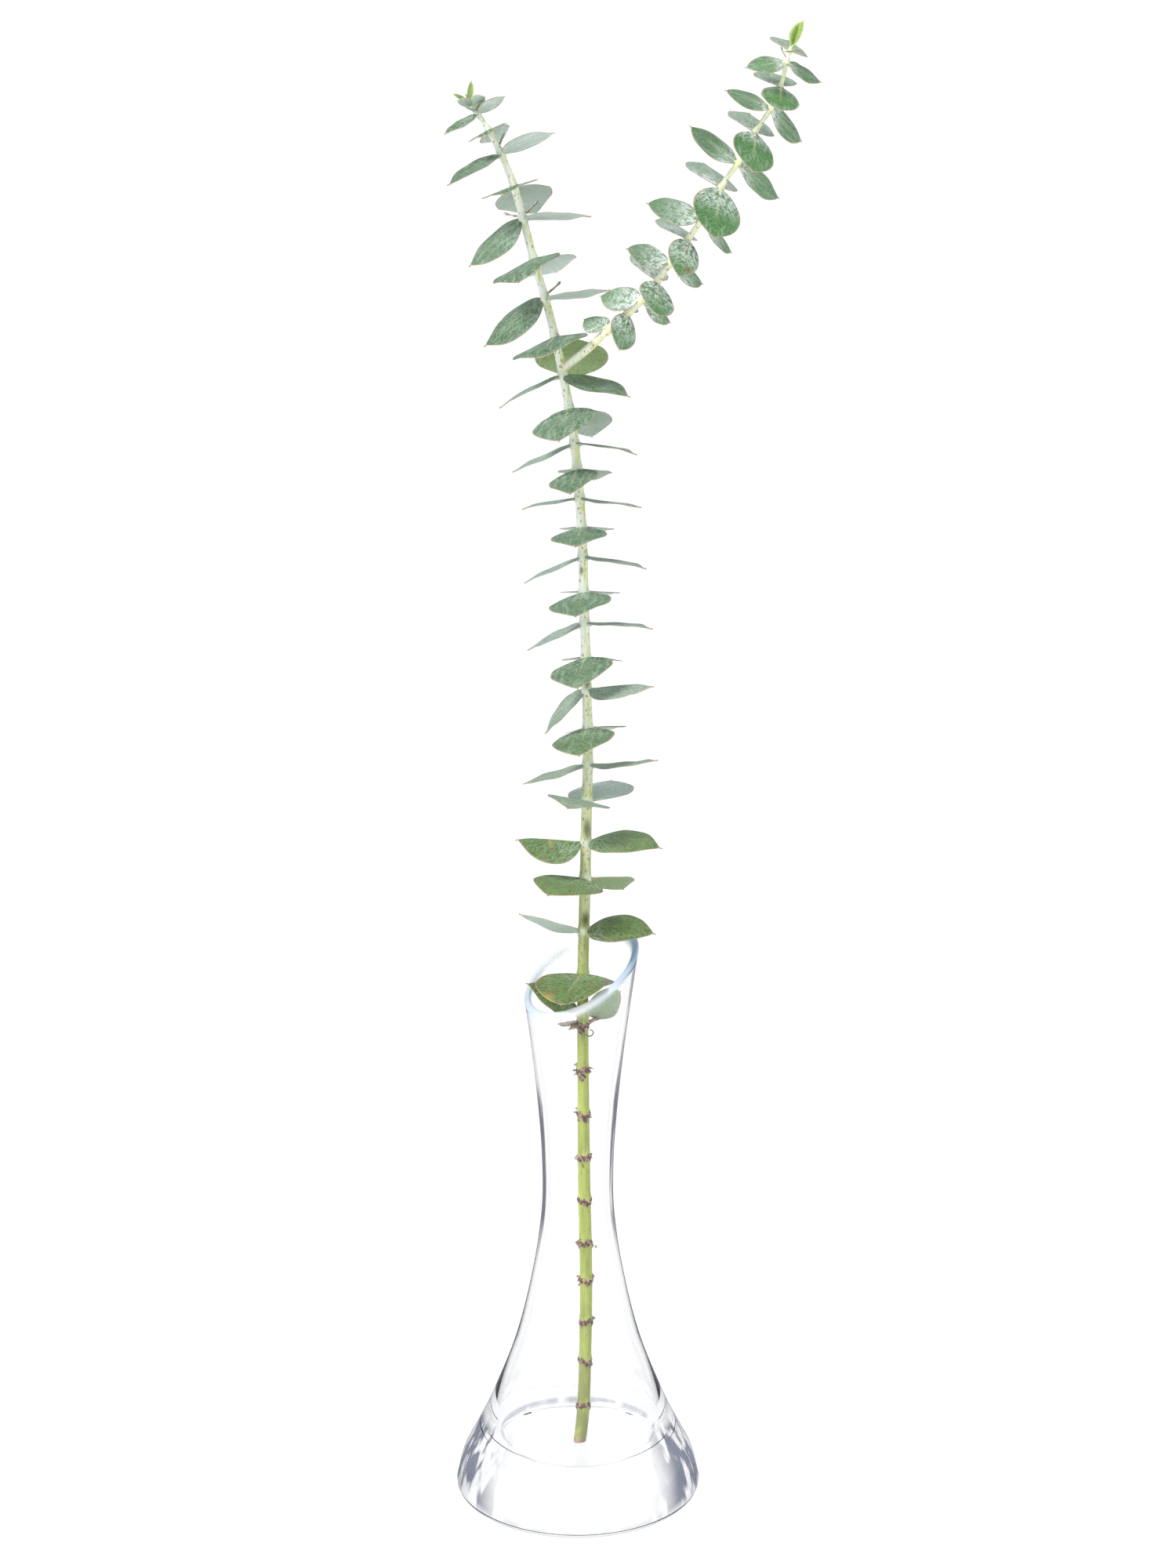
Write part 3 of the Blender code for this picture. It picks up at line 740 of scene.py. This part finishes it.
def leafHalf(form, u, length, width, rootRadius):
    # half width at a share of the length: a rounded base outside the stem and a drawn-out point
    start = rootRadius * form["rootStart"] / length
    t = (u - start) / (1.0 - start)
    if t <= 0.0:
        return form["rootHalf"]
    blade = min(t / form["beakStart"], 1.0)
    half = width / 2 * sin(pi * blade ** form["belly"]) ** form["roundness"]
    half *= 1.0 - form["pointDraw"] * ease(form["pointStart"], 1.0, t)
    beak = form["beakHalf"] * min(width / form["fullWidth"], 1.0) * (1.0 - t) / (1.0 - form["beakStart"])
    return max(half, form["rootHalf"] * (1.0 - t), min(beak, form["beakHalf"]), form["leastHalf"])


def scorchAt(scorch, length, u, side):
    # how burnt a place is, from (share of length, side, reach, amount) of each scorch
    burns = [amount * ease(reach, 0.0, hypot((u - a) * length, side - b)) for a, b, reach, amount in scorch]
    return max(burns, default=0.0)


def addLeaf(growth, root, rootRadius, shape, age, form=leafForm, scorch=(), bloom=0.0, warm=0.0, frost=0.7):
    turn, lift, length, width, roll = shape[:5]
    fold = shape[5] if len(shape) > 5 else form["usualFold"]
    arch = shape[6] if len(shape) > 6 else 0.0
    along, across, out = leafAxes(turn, lift, roll)
    small = min(1.0, width / form["fullWidth"])
    least, more = form["pointFacing"]
    droop = form["pointDrop"] * small * (least + more * abs(sin(radians(turn))))
    tone, phase, count = rng.random(), rng.uniform(0, 2 * pi), rng.uniform(*form["waveCount"])
    wave = form["waveHeight"] * small * rng.uniform(*form["waveSpread"])
    cup = form["cup"] * rng.uniform(*form["cupSpread"])
    bend = arch + form["bend"] * rng.uniform(-1.0, 1.0)
    shift = Vector([rng.uniform(0, form["patternShift"]) for _ in range(3)])
    stations, lines = form["stations"], form["lines"]
    endCrowding, edgeCrowding = form["crowding"]
    upper, lower = [], []
    for i in range(stations + 1):
        share = i / stations
        u = endCrowding * (0.5 - 0.5 * cos(pi * share)) + (1.0 - endCrowding) * share
        half = leafHalf(form, u, length, width, rootRadius)
        hump = bend * length * 4.0 * u * (1.0 - u)
        drop = droop * ease(form["pointStart"], 1.0, u)
        tops, unders = [], []
        for j in range(-lines, lines + 1):
            v = j / lines
            v = (1.0 - edgeCrowding) * v + edgeCrowding * sin(v * pi / 2)
            side = v * half
            slope = tan(radians(fold)) * (hypot(side, form["foldSoft"]) - form["foldSoft"])
            swing = 2 * pi * count * u + phase + (form["waveShift"] if v > 0 else 0.0)
            ripple = wave * abs(v) ** form["wavePower"] * sin(swing) * ease(*form["waveStart"], u)
            height = hump + slope + ripple + cup * half * v * v - drop
            thick = form["thickness"] * small ** 0.5 * (1.0 - v * v) ** 0.5 / 2
            rib = form["ribRise"] * small * exp(-((side / form["ribHalf"]) ** 2)) * (1.0 - u)
            collar = form["collarRise"] * rootRadius * ease(*form["collarEnd"], u) * (1.0 - v * v)
            place = root + along * (u * length) + across * side
            marks = dict(
                leafAlong=u,
                leafTone=tone,
                leafAge=age,
                leafRib=abs(side),
                leafEdge=min((1.0 - abs(v)) * half, (1.0 - u) * length * form["tipEdge"]),
                leafScorch=scorchAt(scorch, length, u, side),
                leafBloomAndSheen=bloom,
                leafWarm=warm,
                leafFrost=frost,
                leafSpot=Vector((u * length, side, 0.0)) + shift,
            )
            rim = abs(j) == lines
            rise, fall = height + thick + form["collarTop"] * collar, height - thick - rib - collar
            top = growth.point(place + out * rise, leafUpper=0.5 if rim else 1.0, **marks)
            under = top if rim else growth.point(place + out * fall, leafUpper=0.0, **marks)
            tops.append(top)
            unders.append(under)
        upper.append(tops)
        lower.append(unders)
    for i in range(stations):
        for j in range(2 * lines):
            growth.faces.append((upper[i][j], upper[i + 1][j], upper[i + 1][j + 1], upper[i][j + 1]))
            growth.faces.append((lower[i][j], lower[i][j + 1], lower[i + 1][j + 1], lower[i + 1][j]))
    growth.faces.append(tuple(upper[0]) + tuple(reversed(lower[0][1:-1])))
    growth.faces.append(tuple(reversed(upper[-1])) + tuple(lower[-1][1:-1]))


leafLook = dict(
    cloudScale=0.16,
    grainScale=1.1,
    blotchScale=0.55,
    mottleStretch=(1.5, 0.7),  # along the side veins and away from the midrib
    fleckStretch=(2.0, 0.6),
    sheenStretch=(0.16, 0.75, 2.0),
    mottleShare=0.75,
    cloudShare=0.2,
    deep=(0.075, 0.165, 0.048),
    fresh=(0.275, 0.455, 0.140),
    deepYoung=(0.074, 0.158, 0.072),
    freshYoung=(0.235, 0.375, 0.228),
    pale=(0.500, 0.570, 0.380),
    paleYoung=(0.480, 0.580, 0.480),
    paleGrain=(0.52, 0.68),
    paleAmount=0.6,
    dot=(0.300, 0.170, 0.095),
    dotScale=1.9,
    dotBand=(0.66, 0.72),
    dotEdge=(9.0, 1.0),
    dotAmount=0.75,
    brown=(0.300, 0.235, 0.110),
    brownBand=(0.50, 0.66),
    brownAmount=0.8,
    brownSpotScale=0.9,
    brownSpotBand=(0.80, 0.84),
    brownSpotAmount=0.7,
    vein=(0.300, 0.430, 0.230),
    veinSlant=0.8,
    veinSpacing=2.6,
    veinWander=4.0,
    veinBand=(0.72, 1.0),
    veinAmount=0.4,
    rib=(0.520, 0.560, 0.230),
    ribBand=(0.55, 0.15),
    ribFade=(0.85, 0.1),
    ribAmount=0.8,
    under=(0.445, 0.535, 0.455),
    underShade=(0.310, 0.395, 0.335),
    underBloom=(0.720, 0.800, 0.760),
    warm=(0.330, 0.430, 0.200),
    warmShade=(0.190, 0.290, 0.115),
    bloom=(0.640, 0.730, 0.700),
    bloomAmount=0.55,
    bloomSpecks=(0.49, 0.56),
    bloomPatch=0.0,
    bloomPatches=(0.45, 0.53),
    sheenBand=(0.50, 0.64),
    sheenAmount=0.3,
    shade=0.72,
    margin=(0.480, 0.350, 0.250),
    marginWidth=0.55,
    marginAmount=0.85,
    tip=(0.330, 0.150, 0.100),
    tipBand=(0.965, 1.0),
    tipAmount=0.45,
    scorch=(0.62, 0.40, 0.10),
    roughness=0.46,
    bumpHeights=(0.4, 0.5, 0.6, 0.4),  # grain, veins, midrib, mottle
    bumpDepth=0.00028,
)


def leafPaint(name, look):
    paint = Paint(name)
    spot = paint.mark("leafSpot", "Vector")
    along, upperFace = paint.mark("leafAlong"), paint.mark("leafUpper")
    tone, age, bloomAndSheen = paint.mark("leafTone"), paint.mark("leafAge"), paint.mark("leafBloomAndSheen")
    rib, edge, scorch = paint.mark("leafRib"), paint.mark("leafEdge"), paint.mark("leafScorch")

    # patterns
    parts = paint.make("SeparateXYZ", None, {0: spot})
    slanted = parts - rib * look["veinSlant"]  # runs along the side veins
    cloud = paint.noise(spot, look["cloudScale"], 2.0)
    grain = paint.noise(spot, look["grainScale"], 3.0, 0.7)
    blotches = paint.noise(spot, look["blotchScale"], 3.0, 0.6)
    stretchAlong, stretchAway = look["mottleStretch"]
    mottlePlace = paint.join(slanted * stretchAlong, rib * stretchAway, tone * 90.0)
    mottle = paint.noise(mottlePlace, 1.0, 3.0, 0.65)
    stretchAlong, stretchAway = look["fleckStretch"]
    fleckPlace = paint.join(slanted * stretchAlong, rib * stretchAway, tone * 40.0 + 9.0)
    flecks = paint.noise(fleckPlace, 1.0, 2.0, 0.7)
    stretchAlong, stretchAway, wander = look["sheenStretch"]
    sheenPlace = paint.join(parts * stretchAlong, rib * stretchAway + cloud * wander, tone * 70.0)
    sheen = paint.noise(sheenPlace, 1.0, 2.0).band(*look["sheenBand"])
    veins = (slanted * look["veinSpacing"] + cloud * look["veinWander"]).math("SINE")
    veins = veins.band(*look["veinBand"]) * rib.band(0.2, 1.0)
    ribLine = rib.band(*look["ribBand"]) * along.band(*look["ribFade"])
    dots = paint.noise(spot, look["dotScale"], 0.0).band(*look["dotBand"]) * edge.band(*look["dotEdge"])
    brownSpots = paint.noise(spot, look["brownSpotScale"], 0.0).band(*look["brownSpotBand"])

    # upper face
    clouds = (cloud.band(0.35, 0.65) + tone) * look["cloudShare"]
    blend = mottle.band(0.38, 0.62) * look["mottleShare"] + clouds
    green = paint.mix(look["deep"], look["fresh"], blend)
    green = paint.mix(green, paint.mix(look["deepYoung"], look["freshYoung"], blend), age)
    paler = paint.mix(look["pale"], look["paleYoung"], age)
    green = paint.mix(green, paler, grain.band(*look["paleGrain"]) * look["paleAmount"])
    browned = blotches.band(*look["brownBand"]) * (1 - age) * look["brownAmount"]
    green = paint.mix(green, look["brown"], browned)
    green = paint.mix(green, look["vein"], veins * look["veinAmount"])
    green = paint.mix(green, look["dot"], dots * (1 - age * 0.75) * look["dotAmount"])
    green = paint.mix(green, look["rib"], ribLine * look["ribAmount"])
    green = paint.stretch(green, (look["shade"],) * 3)
    reach = (along + blotches * 0.5 - 0.25).band(paint.mark("leafFrost"), 0.05)
    patches = blotches.band(*look["bloomPatches"])
    specks = flecks.band(*look["bloomSpecks"]) * (0.3 + 0.7 * patches) + patches * look["bloomPatch"]
    specks = specks.math("MINIMUM", 1.0)
    green = paint.mix(green, look["bloom"], reach * specks * look["bloomAmount"])
    green = paint.mix(green, look["paleYoung"], sheen * age * look["sheenAmount"])
    # pale wash given leaf by leaf: wax bloom, with a painted sheen on the shoot's leaves behind the stem
    green = paint.mix(green, look["bloom"], bloomAndSheen * (0.45 + 0.4 * grain.band(0.4, 0.6)))

    # underside
    pale = paint.mix(look["under"], look["underShade"], mottle.band(0.4, 0.7) * 0.6 + veins * 0.25)
    warmBlend = mottle.band(0.4, 0.65) * 0.7 + grain.band(0.5, 0.6) * 0.3
    warm = paint.mix(look["warm"], look["warmShade"], warmBlend)
    pale = paint.mix(pale, warm, paint.mark("leafWarm"))
    pale = paint.mix(pale, look["underBloom"], bloomAndSheen * (0.5 + 0.5 * sheen))

    # both, with margin, tip and burns
    colour = paint.mix(pale, green, upperFace.band(0.3, 0.7))
    rimLine = edge.band(look["marginWidth"], look["marginWidth"] * 0.35) * look["marginAmount"]
    colour = paint.mix(colour, look["margin"], rimLine)
    colour = paint.mix(colour, look["tip"], along.band(*look["tipBand"]) * look["tipAmount"])
    colour = paint.mix(colour, look["scorch"], scorch * (0.6 + 0.4 * grain))
    colour = paint.mix(colour, look["brown"], brownSpots * look["brownSpotAmount"] * (1 - bloomAndSheen))
    rough = look["roughness"] + grain * 0.15 + (1 - upperFace) * 0.15 + reach * specks * 0.25
    paint.set(Base_Color=colour, Roughness=rough, Specular_IOR_Level=0.3)
    grainHeight, veinHeight, ribHeight, mottleHeight = look["bumpHeights"]
    height = grain * grainHeight + veins * veinHeight + ribLine * ribHeight + mottle * mottleHeight
    paint.bump(height, 0.5, look["bumpDepth"])
    return paint


def leafAge(height):
    return ease(215.0, 330.0, height)


roundLeaves = ((181.9, 1), (197.1, 0), (260.1, 1), (424.6, 1))
warmLeaves = {(181.9, 1): 0.55, (232.1, 1): 0.85, (424.6, 1): 1.0, (411.6, 1): 0.3}
paleLeaves = {
    (260.1, 0): 0.4, (260.1, 1): 1.3, (273.5, 0): 0.45, (273.5, 1): 0.4, (286.8, 1): 0.5,
    (300.4, 0): 0.35, (300.4, 1): 0.55, (324.2, 0): 0.55, (324.2, 1): 0.45, (335.4, 1): 0.5,
    (347.9, 0): 0.5, (347.9, 1): 0.4, (358.4, 1): 0.4, (368.6, 0): 0.4, (368.6, 1): 0.35,
    (387.8, 0): 0.5, (387.8, 1): 0.2, (411.6, 0): 0.35, (438.1, 1): 0.4, (451.5, 1): 0.5,
    (465.5, 1): 0.5, (487.6, 1): 0.8, (495.5, 1): 0.6, (501.3, 1): 0.8,
}
scorches = {(197.1, 0): ((0.93, -6.5, 4.5, 0.9),), (245.0, 0): ((0.5, 2.0, 2.0, 0.5),)}
growth = Growth(*leafMarks)
for height, *pair in stemLeaves:
    for number, shape in enumerate(pair):
        rootRadius = smoothValue(stem["radius"], height)
        which = (height, number)
        addLeaf(
            growth,
            pathPoint(stem["path"], height),
            rootRadius,
            shape,
            leafAge(height),
            roundForm if which in roundLeaves else leafForm,
            scorches.get(which, ()),
            paleLeaves.get(which, 0.0),
            warmLeaves.get(which, 0.0),
        )
growth.piece("stemLeaves", leafPaint("stemLeaf", leafLook), "main_stem")
print("stem leaves made:", len(growth.faces), "faces")

shootLeafLook = dict(
    leafLook,
    deep=(0.065, 0.185, 0.060),
    fresh=(0.150, 0.320, 0.125),
    deepYoung=(0.062, 0.190, 0.055),
    freshYoung=(0.152, 0.345, 0.122),
    paleAmount=0.25,
    shade=0.8,
    under=(0.440, 0.530, 0.450),
    underShade=(0.330, 0.410, 0.350),
    bloom=(0.960, 0.990, 1.000),
    bloomAmount=1.0,
    bloomSpecks=(0.475, 0.51),
    bloomPatch=0.28,
    margin=(0.500, 0.370, 0.290),
    scorch=(0.30, 0.07, 0.03),
    roughness=0.42,
)
shootScorches = {(453.6, 0): ((0.72, 2.5, 2.0, 1.0),)}
# pale wash on the shoot's leaves: partly wax bloom, partly a painted sheen on the leaves behind the stem,
# seen at a glancing angle
shootBloomAndSheen = dict(
    behindStem=0.38,
    atSides=0.11,  # the leaves that point forward have none
    frostLeast=0.42,
    frostBand=(482.0, 452.0),  # all of a leaf is frosted from the second height down
)
growth = Growth(*leafMarks)
for height, *pair in shootLeaves:
    for number, shape in enumerate(pair):
        rootRadius = smoothValue(shoot["radius"], height)
        place = pathPoint(shoot["path"], height)
        burns = shootScorches.get((height, number), ())
        turn, lift = shape[:2]
        if 0.0 < turn < 130.0 and lift > 0.0:
            bloom = shootBloomAndSheen["behindStem"]
        else:
            bloom = 0.0 if 240.0 < turn < 285.0 else shootBloomAndSheen["atSides"]
        least = shootBloomAndSheen["frostLeast"]
        frost = least + (1.0 - least) * ease(*shootBloomAndSheen["frostBand"], height)
        addLeaf(growth, place, rootRadius, shape, 1.0, shootForm, burns, bloom, frost=frost)
growth.piece("shootLeaves", leafPaint("shootLeaf", shootLeafLook), "side_shoot")
print("shoot leaves made:", len(growth.faces), "faces")

# growing tips, twigs and dried scraps


def addLeaflets(growth, wood, leaflets, rootRadius, age, form=leafForm):
    for height, shape in leaflets:
        addLeaf(growth, pathPoint(wood["path"], height), rootRadius, shape, age, form)


tipRoot = 0.6  # radius of the wood under the tips' leaflets
tipLook = dict(
    leafLook,
    deepYoung=(0.34, 0.56, 0.10),
    freshYoung=(0.50, 0.68, 0.18),
    paleAmount=0.0,
    under=(0.34, 0.50, 0.14),
    underShade=(0.20, 0.36, 0.08),
    bloomAmount=0.0,
    margin=(0.55, 0.62, 0.20),
    marginAmount=0.3,
    tip=(0.20, 0.14, 0.08),
)
stemTip = (
    (505.0, (60, 75, 8.4, 2.3, 60, 25)),
    (505.0, (200, 26, 6.4, 2.0, 30, 25)),
    (505.0, (120, 58, 4.6, 1.9, 40, 25)),
)
growth = Growth(*leafMarks)
addLeaflets(growth, stem, stemTip, tipRoot, 1.0)
growth.piece("stemTip", leafPaint("youngLeaf", tipLook), "main_stem")

shootTip = (
    (507.0, (340, 66, 8.6, 5.4, 60, 20)),
    (507.0, (0, 72, 7.6, 4.2, -30, 20)),
)
growth = Growth(*leafMarks)
addLeaflets(growth, shoot, shootTip, tipRoot, 1.0)
growth.piece("shootTip", leafPaint("youngShootLeaf", tipLook), "side_shoot")

darkTipLook = dict(
    leafLook,
    deepYoung=(0.15, 0.25, 0.15),
    freshYoung=(0.34, 0.48, 0.34),
    tip=(0.10, 0.05, 0.08),
    bloomAmount=0.9,
    margin=(0.52, 0.56, 0.34),
)
tipCluster = (
    (503.6, (214, 18, 6.2, 4.4, 30, 25)),
    (503.4, (330, 34, 6.4, 5.0, -30, 30)),
    (502.0, (260, 8, 6.0, 5.6, 14, 34)),
    (503.8, (100, 40, 5.2, 4.4, 20, 20)),
    (501.6, (20, 44, 6.0, 4.6, -24, 25)),
    (489.4, (340, 66, 6.4, 1.9, 50, 25)),
)
growth = Growth(*leafMarks)
addLeaflets(growth, stem, tipCluster, tipRoot, 1.0)
growth.piece("tipCluster", leafPaint("budLeaf", darkTipLook), "main_stem")

twigForm = dict(
    sides=10,
    steps=12,
    bend=0.12,
    taper=0.35,
    bud=(0.88, 0.09, 0.55),  # place and spread along the twig, and size
    end=0.35,
    barkHeight=400.0,  # twigs are painted like the stem at this height
)


def addTwig(growth, centres, radii):
    # a closed round twig through the centres
    sides = twigForm["sides"]
    rings = []
    for i, centre in enumerate(centres):
        along = (centres[min(i + 1, len(centres) - 1)] - centres[max(i - 1, 0)]).normalized()
        side = Vector((0.0, 1.0, 0.05)).cross(along).normalized()
        front = along.cross(side)
        ring = []
        for k in range(sides):
            swing = 2 * pi * k / sides
            offset = (side * cos(swing) + front * sin(swing)) * radii[i]
            ring.append(growth.point(centre + offset, barkHeight=twigForm["barkHeight"]))
        rings.append(ring)
    closeRings(growth, rings)


def straightTwig(growth, path, height, turn, lift, length, radius):
    # a tapering twig with a small bud at its end
    along, across, out = leafAxes(turn, lift, 0.0)
    root = pathPoint(path, height)
    steps = twigForm["steps"]
    budPlace, budSpread, budSize = twigForm["bud"]
    centres, radii = [], []
    for i in range(steps + 1):
        s = i / steps
        centres.append(root + along * (length * s) + out * (twigForm["bend"] * length * s * s))
        bud = budSize * exp(-(((s - budPlace) / budSpread) ** 2))
        end = twigForm["end"] if i == steps else 1.0
        radii.append(radius * (1.0 - twigForm["taper"] * s + bud) * end)
    addTwig(growth, centres, radii)


def splinePoint(before, start, end, after, t):
    # a point between start and end, on a smooth curve through all four
    straight = 2 * start + (end - before) * t
    bow = (2 * before - 5 * start + 4 * end - after) * t * t
    twist = (3 * start - before - 3 * end + after) * t**3
    return 0.5 * (straight + bow + twist)


twigLook = dict(
    barkLook,
    upper=(0.30, 0.32, 0.20),
    upperShade=(0.24, 0.18, 0.13),
    yellow=(0.30, 0.27, 0.15),
    olive=(0.18, 0.14, 0.10),
)
shootTwigLook = dict(twigLook, upper=(0.5, 0.42, 0.2))
growth = Growth(*barkMarks)
for twig in (
    (439.0, 350, 32, 7.5, 0.45),
    (466.0, 172, 4, 7.0, 0.42),
    (466.4, 352, 36, 7.5, 0.42),
    (95.2, 350, -20, 4.4, 0.5),
):
    straightTwig(growth, stem["path"], *twig)
growth.piece("stemTwigs", barkPaint("twigBark", twigLook), "main_stem")
growth = Growth(*barkMarks)
for twig in (
    (503.2, 170, 55, 4.6, 0.42),
    (458.9, 110, 50, 3.4, 0.32),
    (470.1, 40, 50, 3.6, 0.32),
    (476.2, 120, 60, 3.8, 0.32),
    (484.9, 60, 45, 3.2, 0.3),
):
    straightTwig(growth, shoot["path"], *twig)
growth.piece("shootTwigs", barkPaint("shootTwigBark", shootTwigLook), "side_shoot")

driedLook = dict(
    leafLook,
    deep=(0.16, 0.12, 0.09),
    fresh=(0.56, 0.48, 0.38),
    pale=(0.78, 0.70, 0.58),
    under=(0.52, 0.43, 0.33),
    underShade=(0.13, 0.10, 0.08),
    rib=(0.40, 0.32, 0.22),
    bloomAmount=0.0,
    margin=(0.14, 0.08, 0.06),
    marginAmount=0.6,
    tip=(0.14, 0.09, 0.07),
    roughness=0.7,
)
driedForm = dict(leafForm, waveHeight=2.6, cup=0.5, pointDrop=0.0)
driedRoot = 2.0  # radius of the stem under them
scraps = (
    (178.6, (186, 0, 9.4, 2.6, 62, -24)),
    (178.9, (196, 8, 6.4, 2.2, 50, -30)),
    (178.4, (200, -16, 5.8, 2.2, 70, 20)),
    (178.2, (346, 24, 7.2, 1.9, -60, 20)),
)
flakes = dict(
    amounts=((161.4, 14), (144.7, 12), (128.4, 7), (112.0, 6), (95.6, 6), (81.4, 5), (65.4, 5), (50.3, 5)),
    turn=(0, 360),
    lift=(-70, 30),
    length=(3.2, 4.1),
    width=(1.2, 2.3),
    roll=(-70, 70),
    fold=25,
    offScar=(-1.0, 0.8),
)
growth = Growth(*leafMarks)
addLeaflets(growth, stem, scraps, driedRoot, 0.0, driedForm)
for scarHeight, amount in flakes["amounts"]:
    for _ in range(amount):
        flake = [rng.uniform(*flakes[name]) for name in ("turn", "lift", "length", "width", "roll")]
        place = pathPoint(stem["path"], scarHeight + rng.uniform(*flakes["offScar"]))
        addLeaf(growth, place, driedRoot, (*flake, flakes["fold"]), 0.0, driedForm)
growth.piece("driedScraps", leafPaint("driedLeaf", driedLook), "main_stem")

tendril = dict(
    path=(
        (-1.8, -1.6, 178.6), (0.2, -2.7, 177.2), (2.2, -2.9, 175.6), (3.6, -2.7, 174.6),
        (4.9, -2.5, 174.7), (5.6, -2.4, 175.6), (5.2, -2.3, 176.6), (4.2, -2.3, 176.7),
    ),
    steps=6,
    radius=0.34,
    taper=0.5,
)
tendrilLook = dict(twigLook, upper=(0.16, 0.13, 0.09), litSideAmount=0.0)
curve = [Vector(place) for place in tendril["path"]]
curve = [curve[0], *curve, curve[-1]]
centres = [curve[0]]
for four in zip(curve, curve[1:], curve[2:], curve[3:]):
    for step in range(1, tendril["steps"] + 1):
        centres.append(splinePoint(*four, step / tendril["steps"]))
radii = [tendril["radius"] * (1.0 - tendril["taper"] * i / len(centres)) for i in range(len(centres))]
growth = Growth(*barkMarks)
addTwig(growth, centres, radii)
growth.piece("curledTendril", barkPaint("tendrilBark", tendrilLook), "main_stem")
print("tips, twigs and scraps made")

# floor, light and camera

studio = dict(  # metres, degrees and watts
    floorSize=12.0,
    floorHeight=-0.0004,
    floorColour=(0.85, 0.85, 0.85),
    seen=(1.0, 1.0, 1.0, 1.1),  # colour and strength of floor and backdrop as the camera sees them
    floorMirrored=(0.55, 0.57, 0.66, 0.55),  # as gloss reflects the floor
    floorGlow=0.54,
    around=(0.92, 0.96, 1.0, 0.54),  # light from all around
    mirrored=(0.60, 0.64, 0.72, 0.8),  # as gloss reflects the surroundings
    keyPlace=(-1.0, -1.0, 1.6),
    keySize=0.7,
    keyPower=29.0,
    fillPlace=(1.3, -0.6, 0.9),
    fillSize=1.2,
    fillPower=6.0,
    aim=(0.0, 0.0, 0.3),
    lens=50.0,  # millimetres, as is the sensor's width
    sensorWidth=36.0,
    cameraPlace=(0.00374, -0.7786, 0.362),
    cameraTilt=83.0,
)


def rayMix(paint, shade, looks):
    # one plain light for each kind of ray, over the shader that the other rays meet
    for ray, look in looks:
        glow = paint.make("Emission", None, {"Color": look[:3], "Strength": look[3]})
        which = paint.make("LightPath", output=ray)
        shade = paint.make("MixShader", None, {0: which, 1: shade, 2: glow})
    return shade


def raysSeen(mirrored):
    # what gloss, glass and camera meet of the floor or the surroundings
    seen = studio["seen"]
    return ("Is Glossy Ray", mirrored), ("Is Transmission Ray", seen), ("Is Camera Ray", seen)


def makeFloor():
    half, height = studio["floorSize"] / 2, studio["floorHeight"]
    mesh = bpy.data.meshes.new("floor")
    corners = [(-half, -half, height), (half, -half, height), (half, half, height), (-half, half, height)]
    mesh.from_pydata(corners, [], [(0, 1, 2, 3)])
    paint = Paint("paleFloor")
    paint.set(
        Base_Color=studio["floorColour"],
        Roughness=0.9,
        Specular_IOR_Level=0.0,
        Emission_Color=(1.0, 1.0, 1.0),
        Emission_Strength=studio["floorGlow"],
    )
    paint.feed(paint.output, rayMix(paint, paint.whole, raysSeen(studio["floorMirrored"])))
    mesh.materials.append(paint.holder)
    floor = bpy.data.objects.new("floor", mesh)
    bpy.context.scene.collection.objects.link(floor)


def makeLight(name, place, size, power):
    light = bpy.data.lights.new(name, "AREA")
    light.size = size
    light.energy = power
    lamp = bpy.data.objects.new(name, light)
    lamp.location = place
    lamp.rotation_euler = (Vector(studio["aim"]) - Vector(place)).to_track_quat("-Z", "Y").to_euler()
    bpy.context.scene.collection.objects.link(lamp)


def makeWorld():
    # white behind the object, soft light from all around, and a dimmer, cooler tone in the gloss
    sky = Paint("studio", bpy.data.worlds, "Background", "World Output")
    sky.set(Color=studio["around"][:3], Strength=studio["around"][3])
    sky.feed(sky.output, rayMix(sky, sky.whole, raysSeen(studio["mirrored"])))
    bpy.context.scene.world = sky.holder


makeFloor()
makeWorld()
makeLight("keyLight", studio["keyPlace"], studio["keySize"], studio["keyPower"])
makeLight("fillLight", studio["fillPlace"], studio["fillSize"], studio["fillPower"])
bpy.context.scene.view_settings.view_transform = "Standard"

lens = bpy.data.cameras.new("camera")
lens.lens = studio["lens"]
lens.sensor_width = studio["sensorWidth"]
camera = bpy.data.objects.new("camera", lens)
camera.location = studio["cameraPlace"]
camera.rotation_euler = (radians(studio["cameraTilt"]), 0.0, 0.0)
bpy.context.scene.collection.objects.link(camera)
bpy.context.scene.camera = camera
print("studio made")
